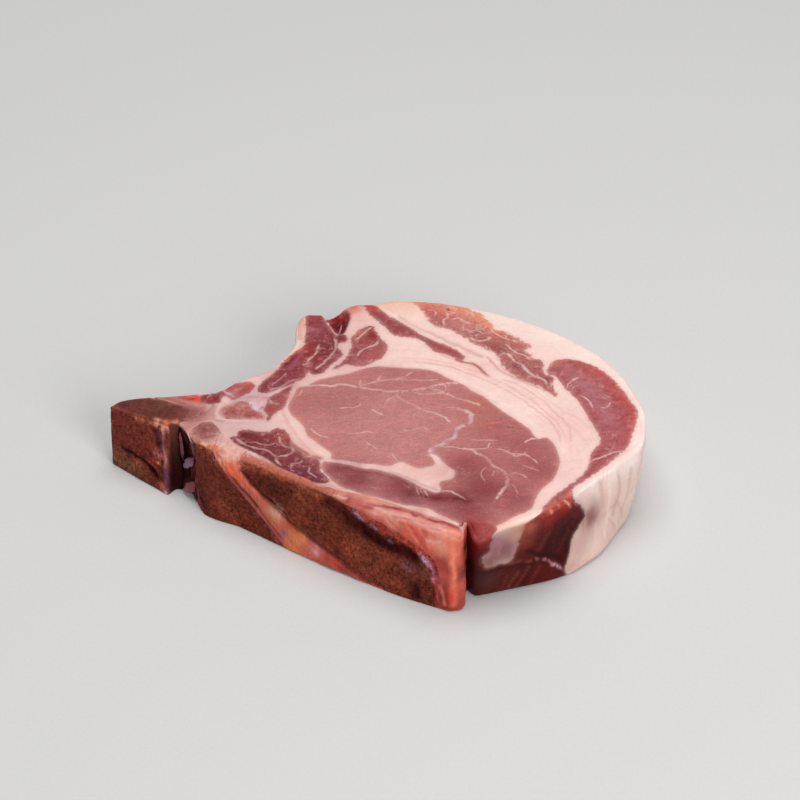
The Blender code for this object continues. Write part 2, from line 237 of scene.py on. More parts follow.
def inward(line):
    """Unit vectors that point into a closed anticlockwise line, one at each point."""
    tangent = np.roll(line, -1, axis=0) - np.roll(line, 1, axis=0)
    tangent /= np.maximum(np.linalg.norm(tangent, axis=1)[:, None], 1e-9)
    return np.column_stack((-tangent[:, 1], tangent[:, 0]))


CORE_HALF = 0.2
EDGE_RINGS = 5


def slab(rows, axis, top_rings, side_rings, foot_rings):
    """A closed slab: rings grow from the axis out to the edge of the top face, go round the
    edge, down the side, round the foot and back in to the axis under it.

    rows start at the axis's first end. Gives the points, ring by ring, and for each point its
    place on the top face before the side's lean, and its share of the way down the side.
    """
    count = len(rows)
    half = count // 2
    way = np.abs(((np.arange(count) + half) % count) - half) / half
    spine = smooth_line(axis, 1.0)
    run = run_of(spine)
    core = np.column_stack([np.interp(way * run[-1], run, column) for column in spine.T])
    side = np.where(np.arange(count) <= half, -CORE_HALF, CORE_HALF)
    side[[0, half]] = 0.0
    core[:, 1] += side
    top = rows[:, :2]
    height = top_height(top[:, 0], top[:, 1])
    lean = rows[:, 2:4]
    into = inward(top)
    quarter = np.linspace(0.0, 0.5 * np.pi, EDGE_RINGS)
    rings = []
    plans = []
    downs = []
    edge = top + into * rows[:, 4:5]
    for t in np.linspace(1.0, 0.0, top_rings, endpoint=False):
        flat = edge + (core - edge) * t
        rings.append(np.column_stack((flat, top_height(flat[:, 0], flat[:, 1]))))
        plans.append(flat)
        downs.append(np.zeros(count))
    levels = [(height - rows[:, 4] * (1 - np.cos(turn)), rows[:, 4] * (1 - np.sin(turn)))
              for turn in quarter]
    for share in np.linspace(1.0, 0.0, side_rings + 2)[1:-1]:
        low = rows[:, 5]
        high = height - rows[:, 4]
        levels.append((low + (high - low) * share, np.zeros(count)))
    levels += [(rows[:, 5] * (1 - np.cos(turn)), rows[:, 5] * (1 - np.sin(turn)))
               for turn in quarter[::-1]]
    for level, inset in levels:
        share = (level / height)[:, None]
        push = inset - rows[:, 6] * np.sin(np.pi * share[:, 0])
        flat = top + lean * (1 - share) + into * push[:, None]
        rings.append(np.column_stack((flat, level)))
        plans.append(top + into * inset[:, None])
        downs.append(1 - share[:, 0])
    foot = rings[-1][:, :2]
    edge = plans[-1]
    under = core + lean.mean(axis=0)
    for t in np.linspace(0.0, 1.0, foot_rings + 1)[1:]:
        flat = foot + (under - foot) * t
        rings.append(np.column_stack((flat, np.zeros(count))))
        plans.append(edge + (core - edge) * t)
        downs.append(np.ones(count))
    return np.array(rings), np.array(plans), np.array(downs)


def slab_faces(ring_count, count):
    """Quads between neighbouring rings, and a zip of quads that closes each end ring."""
    index = np.arange(ring_count * count).reshape(ring_count, count)
    near = index[:-1]
    far = index[1:]
    walls = np.stack((near, far, np.roll(far, -1, 1), np.roll(near, -1, 1)), -1).reshape(-1, 4)
    half = count // 2
    low = np.arange(1, half - 1)
    high = count - low
    zips = []
    for ring, turn in ((index[0], 1), (index[-1], -1)):
        quads = np.stack((ring[low], ring[low + 1], ring[high - 1], ring[high]), -1)
        ends = np.array(((ring[0], ring[1], ring[-1]),
                         (ring[half], ring[half + 1], ring[half - 1])))
        zips.append((quads[:, ::turn], ends[:, ::turn]))
    quads = np.vstack((walls, zips[0][0], zips[1][0]))
    return quads, np.vstack((zips[0][1], zips[1][1]))


def body(name, points, quads, triangles=()):
    """A smooth-shaded mesh object in metres from points on the cutting plan, in mm."""
    mesh = bpy.data.meshes.new(name)
    flat = (points.reshape(-1, 3) - (*MIDDLE, 0.0)) * MM
    corners = np.concatenate((np.ravel(quads), np.ravel(triangles))).astype(np.int32)
    sizes = np.array([4] * len(quads) + [3] * len(triangles), np.int32)
    mesh.vertices.add(len(flat))
    mesh.vertices.foreach_set("co", flat.ravel())
    mesh.loops.add(len(corners))
    mesh.loops.foreach_set("vertex_index", corners)
    mesh.polygons.add(len(sizes))
    mesh.polygons.foreach_set("loop_start", np.concatenate(([0], np.cumsum(sizes)[:-1])))
    mesh.update(calc_edges=True)
    mesh.validate()
    mesh.shade_smooth()
    made = bpy.data.objects.new(name, mesh)
    bpy.context.scene.collection.objects.link(made)
    return made


LATTICE = 64
FAR_CORNER = 1000.0


def cloud(points, size, seed):
    """Smooth noise from -1 to 1: random values on a lattice of the size, blended between
    its eight nearest knots with weights 3t^2 - 2t^3."""
    knots = np.random.default_rng(seed).uniform(-1.0, 1.0, LATTICE ** 3)
    knots = knots.reshape(LATTICE, LATTICE, LATTICE)
    at = np.asarray(points, float) / size + FAR_CORNER
    base = np.floor(at).astype(int)
    t = at - base
    t = t * t * (3 - 2 * t)
    total = 0.0
    for corner in range(8):
        step = np.array((corner & 1, corner >> 1 & 1, corner >> 2 & 1))
        weight = np.prod(np.where(step == 1, t, 1 - t), axis=-1)
        i, j, k = np.moveaxis((base + step) % LATTICE, -1, 0)
        total = total + weight * knots[i, j, k]
    return total


BATCH = 4000000


def nearest(line, spots, reach):
    """How far each spot is from a line, and how far to its left, up to a reach.

    For each straight piece: the foot of the perpendicular, kept within the piece; the
    shortest wins, and its cross product with the piece gives the side.
    """
    far = np.full(len(spots), reach, float)
    left = np.full(len(spots), reach, float)
    low = line.min(axis=0) - reach
    high = line.max(axis=0) + reach
    near = np.flatnonzero(np.all((spots > low) & (spots < high), axis=1))
    start = line[:-1]
    run = np.diff(line, axis=0)
    length = np.maximum((run ** 2).sum(axis=1), 1e-12)
    for part in np.array_split(near, max(1, len(near) * len(run) // BATCH)):
        gap = spots[part, None, :] - start
        share = np.clip((gap * run).sum(axis=2) / length, 0.0, 1.0)
        gap -= share[:, :, None] * run
        away = (gap ** 2).sum(axis=2)
        best = away.argmin(axis=1)
        pick = np.arange(len(part))
        far[part] = np.minimum(np.sqrt(away[pick, best]), reach)
        side = run[best, 0] * gap[pick, best, 1] - run[best, 1] * gap[pick, best, 0]
        left[part] = far[part] * np.where(side >= 0.0, 1.0, -1.0)
    return far, left


def depth_in(points, spots, reach=8.0, step=0.8):
    """How deep each spot is in a smooth closed outline, negative outside, up to a reach."""
    line = smooth_line(points, step, closed=True)
    far, _left = nearest(line, spots, reach)
    x, y = spots[:, 0], spots[:, 1]
    inside = np.zeros(len(spots), bool)
    low, high = line.min(axis=0), line.max(axis=0)
    near = np.flatnonzero((x > low[0]) & (x < high[0]) & (y > low[1]) & (y < high[1]))
    for (x0, y0), (x1, y1) in zip(line[:-1], line[1:]):
        crosses = (y0 > y[near]) != (y1 > y[near])
        inside[near] ^= crosses & (x[near] < (x1 - x0) * (y[near] - y0) / (y1 - y0 + 1e-12) + x0)
    return np.where(inside, far, -far)


def ease(value, low, high):
    """0 below low, 1 above high, and 3t^2 - 2t^3 between them."""
    t = np.clip((value - low) / (high - low), 0.0, 1.0)
    return t * t * (3 - 2 * t)


def mixed(base, other, share):
    """The base turned into the other by a share, point by point."""
    share = share.reshape((-1,) + (1,) * (base.ndim - 1))
    return base * (1 - share) + other * share


def plain(color, spots):
    """One colour for every spot."""
    return np.tile(shade(*color), (len(spots), 1))


STROKE_REACH = 2.6


def stroked(base, spots, strokes):
    """A colour field: each stroke lays its colour along a line that fades to its sides as a
    bell. A stroke is its half width, strength, colour and points."""
    field = base
    for width, strength, red, green, blue, *points in strokes:
        far, _left = nearest(smooth_line(points, 0.4), spots, STROKE_REACH * width)
        field = mixed(field, shade(red, green, blue), strength * np.exp(-(far / width) ** 2))
    return field


RAGGED = 0.35


def ragged(spots, size=RAGGED):
    """Spots shifted a little by noise, so that what is laid on them has uneven edges."""
    flat = np.column_stack((spots, np.zeros(len(spots))))
    shift = [cloud(flat, 3.6, 71 + k) + 0.6 * cloud(flat, 1.3, 73 + k) for k in (0, 1)]
    return spots + size * np.column_stack(shift)


def washed(base, spots, washes):
    """A colour field: each wash lays its colour over a round patch that fades as a bell.

    A wash is x, y, radius, strength and its colour."""
    field = base
    for x, y, radius, strength, *color in washes:
        away = (spots[:, 0] - x) ** 2 + (spots[:, 1] - y) ** 2
        field = mixed(field, shade(*color), strength * np.exp(-away / radius ** 2))
    return field


def painted(color, spots, washes, strokes):
    """One colour with its washes and then its strokes laid over it."""
    return stroked(washed(plain(color, spots), spots, washes), spots, strokes)


# The wall that the bones hide: it runs inside them, from the vertebra to the front corner.
# Rows as in the stretches
BED = ((-76.9, 13.2, 0, 0), (-78.4, 11.6, 0, 0), (-76.0, 9.0, 0, 0), (-70.5, 4.4, 0, 0),
       (-67.9, 0.6, 0, 0))
CANAL = ((-66.4, -1.2, 0.9, -4.2), (-63.8, -5.8, 1.1, -0.4), (-61.6, -9.9, 0.6, -1.4))
BED_FRONT = (
    (-59, -10.4, 0, 0), (-56.5, -10.8, 0, 0), (-50.6, -14.6, 0, 0), (-44.4, -19.4, 0, -1.4),
    (-40.6, -22.3, 0, -2.4), (-31, -28.5, 0, -2.4), (-16, -38.4, 0, -2.4), (-6, -43.4, 0, -1.4),
    (9, -50.8, 0, 0), (22.6, -57.6, 0, 0), (27.6, -57.4, 0, 0))


CANAL_HOLLOW = 2.4
CANAL_MIDDLE = -64.4


def flesh_outline(count):
    """The outline of the slab of flesh, from its left tip, as even rows."""
    hidden = edged(BED + CANAL + BED_FRONT, 0.4, 0.4, 0.0)
    hidden[:, 6] = -CANAL_HOLLOW * np.exp(-((hidden[:, 0] - CANAL_MIDDLE) / 1.8) ** 2)
    back = stretch("back of the vertebra")
    back = back[back[:, 0] > -76.0]
    names = ("front corner", "flank", "back fat", "belly end", "rib side")
    rows = [hidden] + [stretch(name)[:-1] for name in names] + [back]
    rows = even_rows(np.vstack(rows), count)
    for _pass in range(4):
        habits = rows[:, 4:]
        rows[:, 4:] = (np.roll(habits, 1, axis=0) + habits + np.roll(habits, -1, axis=0)) / 3
    return rows


# The line in the slab's middle, where its end rings close, and the counts of its mesh
AXIS = ((-60.0, 5.5), (-45.0, 3.0), (-28.0, 4.0), (0.0, 2.0), (25.0, -4.0), (50.0, -8.0))
COLUMNS = 620
TOP_RINGS = 96
SIDE_RINGS = 22
FOOT_RINGS = 22
GROOVE = (29.9, -56.2)
OFF_THE_SIDE = -50.0

# The outlines of the loin eye and of the fat seam that runs into it
EYE = (
    (-29.8, 6), (-28, 1.5), (-25.5, -2), (-24, -5), (-23, -9), (-20, -12.5), (-17, -16.5),
    (-14.5, -19.8), (-15.6, -22.4), (-17.7, -24.2), (-17.3, -28.5), (-15, -32.2), (-12, -35.9),
    (-6, -39.9), (0, -42.6), (5, -44.8), (10, -46.8), (17, -48.8), (20, -51.4), (25, -55), (29.6, -58.6),
    (33, -60), (38, -59), (42, -56.5), (47, -53), (51, -50), (52, -46.5), (54, -41), (58, -36),
    (60.3, -30), (61, -25), (60.5, -21), (59.5, -17), (57, -13), (54, -13.5), (52, -9), (50, -6),
    (44, 1), (40, 6), (37, 10), (33, 13.5), (30, 17.5), (25, 21), (20, 25.5), (15, 27), (10, 27.5),
    (5, 28.3), (0, 28.5), (-5, 27.5), (-10, 25), (-15, 23.5), (-20, 21.5), (-22.5, 19.5), (-23.4, 18.3),
    (-26.6, 17.6), (-27.6, 14), (-29, 10))
INNER_SEAM = (
    (-18.5, -20), (-15.5, -21.5), (-13, -22.5), (-10, -23), (-5, -24.8), (0, -25.5), (5, -26.5),
    (8.5, -24.4), (11, -26), (14, -28), (17, -27.8), (19.6, -26.5), (19.3, -23.5), (17.8, -20.6),
    (19.6, -20.8), (22, -24), (24, -27.5), (26.3, -30), (26, -32.5), (24.5, -34.5), (21.8, -34.8),
    (21, -37), (21.6, -40.2), (20, -40.8), (18, -39.8), (16, -38.6), (13, -36), (10, -33.5), (7, -31.5),
    (3, -29.5), (0, -28), (-5, -27.2), (-8, -26), (-12, -24.2), (-17.4, -22.8))

# The other muscles on the cut face. Each has its name, its colour, how ragged its border is,
# how much fine marbling it holds, and its outline. The last one lies a little deeper.
MUSCLES = (
    ("strip in the band", (161, 88, 88), 0.4, 0.45, ((-5, 67.5), (0, 64.2), (3, 60), (8, 55), (12, 51),
     (16, 46.5), (22, 42), (28, 37.5), (30.8, 32.5), (29.5, 31.6), (24, 35.3), (20, 37.4), (16, 43.3),
     (12, 45.4), (6, 46.8), (3, 52), (0, 56), (-3.6, 62))),
    ("sliver in the band", (176, 102, 97), 0.15, 0, ((28, 33.4), (30.4, 30.6), (33.2, 30.2),
     (35.4, 28.4), (37, 25.2), (38.8, 22), (37.6, 22.6), (35.9, 25), (34.4, 27.6), (32.4, 29.2),
     (29.6, 29.8), (27, 32))),
    ("marbled muscle", (178, 112, 106), 0.75, 1, ((11, 67.8), (20, 66.6), (30, 63.4), (35, 60.4),
     (37.4, 57.5), (38.6, 55), (40.6, 52), (41, 49.5), (45, 47.5), (49, 44), (51.5, 41.5), (53.8, 38.5),
     (51, 36.5), (54, 33.5), (53.5, 31.5), (56.5, 31), (58, 28.5), (57.5, 25.5), (58.5, 22.5),
     (61, 20.5), (60.5, 17), (61.3, 10), (60, 10.5), (57, 14.5), (53, 17.5), (49, 20.5), (46, 23.5),
     (44, 27), (42.5, 31), (41, 35), (37, 38.5), (33, 42), (29, 46.5), (25, 50), (20, 52.5), (18, 57),
     (16.5, 60), (15, 63.5), (12, 66.5))),
    ("cap muscle", (170, 94, 97), 0.45, 0.5, ((58.5, 24.5), (59.5, 27.5), (62, 30.5), (65, 31), (70, 30),
     (75, 26.5), (79, 22), (82, 17), (84, 12), (86.5, 6), (88.2, 1), (87.5, -5), (86, -11), (84.5, -17),
     (82.8, -20.5), (79.5, -24.5), (76.4, -28.2), (72.4, -32.6), (68.4, -36.6), (65.2, -39.8),
     (63.4, -44.6), (60.4, -49.8), (56.2, -53.4), (54.2, -52.2), (55.5, -48), (60, -42), (65, -37),
     (68, -33.5), (70.5, -28), (71.5, -22), (75, -15), (74, -10), (72, -4), (70, 3), (67.5, 9),
     (64.5, 14), (61.5, 21), (59, 22.5))),
    ("corner of the eye", (150, 74, 77), 0.25, 0.3, ((24, -52), (27, -50), (33, -52), (37.6, -55.4),
     (39.4, -58.4), (39, -61.4), (38, -66), (26, -66), (27.4, -56.8))),
    ("rib muscles", (138, 62, 66), 0.45, 0.62, ((-25, 61), (-22, 61.4), (-19, 60.6), (-18.2, 56.6),
     (-16.4, 52), (-14.6, 48.6), (-11, 47.6), (-10, 46), (-10.6, 43.6), (-13.4, 42.6), (-12.8, 39),
     (-11.6, 37), (-12.6, 34.4), (-15, 30.6), (-16.6, 28.4), (-18, 25.6), (-21.6, 24.8), (-23, 26.6),
     (-25, 22.6), (-28, 20.6), (-31, 18.2), (-34, 16.6), (-38, 14.8), (-40.4, 15.6), (-39.4, 20.6),
     (-36.4, 24.8), (-33.8, 28.8), (-31.4, 33.8), (-28, 38.4), (-25.4, 41.8), (-25, 46), (-24.8, 52),
     (-25, 57))),
    ("wedge muscle", (159, 86, 88), 0.55, 0.66, ((-15, 28), (-12.6, 30.6), (-9.6, 36.8), (-8.6, 41.6),
     (-9, 45.5), (-7.4, 48.5), (-5, 51.6), (-1.4, 52.8), (0, 49.5), (1, 45.5), (3.4, 42.6), (3.6, 39),
     (2.2, 34), (-1, 31.5), (-5, 29), (-10, 30), (-12.4, 28.6))),
    ("muscle in the corner", (150, 72, 75), 0.5, 0.6, ((-59.2, 14.6), (-54, 15.6), (-52.4, 17.6),
     (-50, 19.8), (-46, 21.2), (-42.4, 21), (-41.2, 18.6), (-43, 15.5), (-46, 13), (-49, 11.4),
     (-50.8, 13.2), (-52.4, 13.6), (-52.8, 10), (-56.6, 9.4), (-60, 11))),
    ("sliver by the eye", (156, 80, 80), 0.4, 0.55, ((-28.6, 18.4), (-29.8, 13), (-30.6, 8),
     (-31.4, 5.6), (-33.6, 4), (-35.2, 1.2), (-36.6, -1.2), (-36.6, 2.4), (-38.2, 5.4), (-37.4, 8.4),
     (-36.8, 12), (-34.8, 13.8), (-31.6, 16.6))),
    ("torn muscle in the corner", (176, 108, 104), 1, 1, ((-51.6, 3), (-50.8, 6.2), (-48.6, 8.2),
     (-45.4, 10), (-43, 9), (-41.8, 6.2), (-39.8, 4.2), (-38.4, 1.8), (-40, 0.9), (-45, 1.4),
     (-49.6, 1.6))),
    ("muscle by the bone", (120, 46, 52), 0.35, 0.5, ((-48.6, -9.2), (-46.4, -8.2), (-46.2, -6.2),
     (-44, -5.4), (-41, -6), (-38, -7), (-35.4, -6.6), (-33.6, -5), (-31.2, -5.4), (-29.6, -7.4),
     (-28.6, -11), (-28.6, -14), (-25.4, -17.4), (-22.8, -20.8), (-19, -22), (-18.2, -24.6), (-18, -28),
     (-16, -31.6), (-15, -34.2), (-16.8, -35.2), (-20, -34.6), (-24, -32.6), (-28.4, -29.6),
     (-32.4, -25.6), (-36, -21.4), (-40, -18.4), (-44, -15.4), (-47, -12.4))))

# The raw notch at the belly end: marks in it, and its outline
NOTCH_WASHES = (
    (-14, 57, 3, 0.8, 92, 18, 32), (-12, 60, 1.8, 0.7, 150, 42, 40), (-16, 58.4, 2, 0.7, 150, 50, 50),
    (-13.4, 62, 1.4, 0.8, 190, 66, 56), (-13, 50, 1.8, 0.8, 165, 104, 110),
    (-16, 54, 1.4, 0.6, 140, 62, 70))
NOTCH = ((-18, 58.5), (-14, 62), (-10.2, 62), (-9.6, 57), (-10.6, 52), (-12, 48.6), (-14, 49),
         (-15.6, 52), (-17, 56))

# Thin fat seams inside the muscles: half their width, how plain they show, their points
VEINS = (
    (0.62, 0.95, (18, -20.8), (18.4, -19.2), (20.4, -16.8), (22.4, -15.2), (24, -13.2), (26.2, -11.8),
     (26.8, -9.4), (27.2, -7.6), (28.6, -6.2), (30.4, -5)),
    (0.7, 0.95, (30, -5.3), (31.6, -3.6), (32, -1), (32.2, 0.4), (30.4, 2.5), (27, 4.2)),
    (0.34, 0.62, (21, -40.2), (25, -41), (27.6, -43.2), (30.2, -45.8)),
    (0.4, 0.7, (28.4, -18), (31.8, -18.6), (34, -21), (37, -23.5), (38, -26.5), (39.5, -29), (41.6, -30),
     (43.2, -31.6), (43.6, -34), (43, -37.5), (41.8, -40.4), (40.4, -43.6), (39.4, -46)),
    (0.24, 0.45, (37, -28), (35, -31), (35.2, -33.5), (36, -36.4)),
    (0.22, 0.45, (39.2, -29.6), (38.8, -34.6)),
    (0.22, 0.45, (43.4, -32.4), (46, -31.8), (49, -33.4), (50.6, -35.6)),
    (0.18, 0.35, (44, -36), (45.5, -39), (46.4, -43.8)),
    (0.26, 0.52, (20.6, -17), (25, -17), (28.6, -18), (32, -18.6), (35, -18.6), (37.4, -18), (38, -14.8)),
    (0.22, 0.42, (31, -13.8), (36, -14.2), (42, -14)),
    (0.24, 0.46, (39.6, -19), (43, -19.4), (45.4, -21.4), (49, -22), (52, -24), (54, -28)),
    (0.22, 0.42, (48, -27), (51, -29.4), (55, -30.4)),
    (0.32, 0.7, (49.2, -16.2), (51, -14.8), (54.4, -13)),
    (0.22, 0.5, (45, -20), (46, -22.6), (49, -22), (50, -20)), (0.2, 0.35, (25.6, -33.6), (26.6, -36.4)),
    (0.2, 0.45, (13.4, -37), (14, -39.6), (14.8, -42.6)),
    (0.2, 0.45, (16, -38.6), (16.8, -41), (18.2, -43.4)),
    (0.42, 0.74, (-24.6, 18), (-20, 18.4), (-16, 18), (-12, 18.8), (-8.4, 17.8), (-4.4, 16.6), (0, 15.2),
     (5, 14.4), (10, 14.4), (14, 14.8), (17.4, 16), (21, 17.4), (25, 18), (29, 18.8)),
    (0.36, 0.7, (17.4, 16), (21, 14.2), (23.4, 12.2), (27, 9.8), (31, 8), (36, 5)),
    (0.28, 0.58, (-6.6, 17.4), (-3, 19), (1, 20.4), (5, 21), (9, 22.2), (13.4, 25.8)),
    (0.26, 0.52, (1, 20.4), (6, 20.2), (12, 20.8), (18, 20.2), (22, 20.8)),
    (0.32, 0.7, (0, 19.4), (0.8, 21), (2.4, 23.6)), (0.26, 0.55, (-6.2, 17.4), (-5.6, 19.6), (-5, 22)),
    (0.3, 0.58, (8, 14.2), (7, 11.8), (9.4, 9.2), (12.4, 6.6), (15.4, 3.4), (19.6, 1.8), (23, -1.2),
     (25.4, -4.6)),
    (0.26, 0.52, (7.2, 11.8), (4.4, 9.6), (3, 6.2)), (0.22, 0.46, (15.4, 3.4), (13, 1), (12.4, -2)),
    (0.28, 0.55, (11, 14.4), (14, 12.6), (19, 12.4), (23.6, 12.6)),
    (0.26, 0.52, (23.2, 4.6), (26, 4.8), (29.4, 3.2)), (0.26, 0.52, (-2.4, 5), (0, 3), (3.2, 0.2)),
    (0.24, 0.5, (5.4, -19.4), (6.4, -21.6), (7.6, -25)),
    (0.22, 0.46, (23.2, 18.6), (23.6, 15.4), (23.2, 12.4)),
    (0.22, 0.42, (-13.4, 5.4), (-9, 5.6), (-6, 6.6), (-5, 9.4)),
    (0.24, 0.5, (-22.4, -4.4), (-20.4, -7), (-18.4, -10), (-14.6, -11)),
    (0.2, 0.4, (-3.4, -13), (-1.4, -15.4), (0.6, -18.4)),
    (0.2, 0.38, (-10, -8.4), (-6, -9), (-2.4, -8), (0.6, -9.4)),
    (0.2, 0.38, (8, -6.6), (12, -7.6), (15.4, -6.2), (18.6, -7.6)),
    (0.24, 0.42, (-28, 12.4), (-26, 13.6), (-25.4, 16.8)),
    (0.36, 0.65, (-14.6, 47), (-13.9, 42), (-15, 37), (-17, 33), (-19, 30), (-21.6, 27.2)),
    (0.3, 0.6, (-20.2, 43.4), (-20.6, 38), (-22.6, 34), (-24.6, 30.4)),
    (0.26, 0.55, (-26.6, 30.2), (-24, 31), (-23.4, 33.6), (-21.8, 35.6)),
    (0.4, 0.65, (-15.8, 52.6), (-14.8, 50), (-13.9, 47.4), (-14.2, 45.4)),
    (0.22, 0.45, (-30.6, 27), (-33.4, 22), (-36, 18.6)),
    (0.26, 0.55, (-25.6, 22.4), (-29.4, 20.8), (-32, 18.4), (-37, 16.4)),
    (0.34, 0.6, (0.8, 45), (0.4, 42.6), (-2.2, 40.4), (-4.6, 38.4), (-6, 36.4), (-6.6, 34)),
    (0.4, 0.65, (-1.4, 52.4), (-4, 49.2), (-6, 46.2), (-8.2, 43.6)),
    (0.36, 0.85, (62.4, 20.6), (60.9, 17), (61.4, 12)),
    (0.22, 0.6, (64.6, 13.4), (65.4, 16), (67.6, 19), (70.4, 20.2)),
    (0.18, 0.45, (66.2, 12.2), (67.6, 15.2), (70.4, 16)),
    (0.24, 0.6, (69, 10), (71, 8.2), (72.6, 6), (73.6, 2.2)),
    (0.2, 0.55, (75.4, 3.4), (77.4, 2.6), (78.8, 4.2), (79.6, 6.4)),
    (0.26, 0.6, (70.8, -26.4), (74, -24.6), (78.6, -22.2), (83.4, -20.2)),
    (0.18, 0.4, (76, -24.6), (76.8, -27)), (0.24, 0.4, (75.6, -19), (73.4, -20.6)),
    (0.36, 0.6, (38, 45.6), (39.6, 43.8), (37.4, 42.6), (34, 43), (31.8, 45)),
    (0.3, 0.55, (39, 50.4), (41, 47), (44, 44), (47.4, 41.6)),
    (0.34, 0.6, (24.4, 60.4), (25, 57), (23, 54.4), (24.2, 51.4)),
    (0.3, 0.55, (26, 54.6), (28.4, 56.2), (31, 54), (33.6, 52)),
    (0.28, 0.5, (29.6, 50), (33, 48.6), (36, 48), (37.4, 45.6)),
    (0.32, 0.6, (44, 40.4), (46.6, 37.8), (48.2, 35), (51, 33.6), (53.2, 30.2)),
    (0.36, 0.65, (44.2, 35.2), (46.2, 33.4), (47.2, 31), (50, 28.4), (51.2, 26), (53.4, 22), (57, 19),
     (58.4, 15.4)),
    (0.26, 0.5, (31, 60.6), (33.6, 58.8), (34.6, 56)), (0.26, 0.55, (19.4, 62), (20.6, 59.6), (20, 57)),
    (0.34, 0.62, (-47.4, -9), (-44.2, -12.4), (-40, -15), (-36.6, -16), (-34.6, -18), (-33.2, -20),
     (-32.4, -22.4), (-30.6, -25.2)),
    (0.26, 0.55, (-40.6, -11), (-38, -13), (-35, -13.4), (-33, -11.4)),
    (0.34, 0.6, (-33.4, -20), (-30, -19.4), (-28.2, -18), (-27.6, -16), (-30, -14.8), (-31.8, -12.4),
     (-32.2, -8.4)),
    (0.2, 0.45, (-36, -9.6), (-36.8, -12.4)),
    (0.3, 0.6, (-29, -23.4), (-26.6, -23.6), (-24.6, -23), (-24.4, -21)),
    (0.26, 0.55, (-28.2, -27), (-27.8, -24.8), (-26.4, -23.8)),
    (0.28, 0.6, (-22.2, -25), (-21.4, -26.6), (-22, -28.2), (-20.8, -29.4), (-19.8, -31), (-18.8, -32)),
    (0.34, 0.6, (-37.8, 14.4), (-36.2, 11), (-34.6, 8.6), (-31.4, 8)),
    (0.26, 0.55, (-36, 10.4), (-37.4, 8.4), (-37.8, 6)), (0.24, 0.55, (-34.6, 8.6), (-33, 6.2)),
    (0.26, 0.5, (-58.4, 12), (-56.4, 14), (-54.4, 15)),
    (0.34, 0.6, (-52.2, 18), (-51.4, 15.4), (-49, 13.8), (-47.4, 12.4)),
    (0.22, 0.55, (-13.4, 50.6), (-12.9, 54), (-12.4, 57.6)))

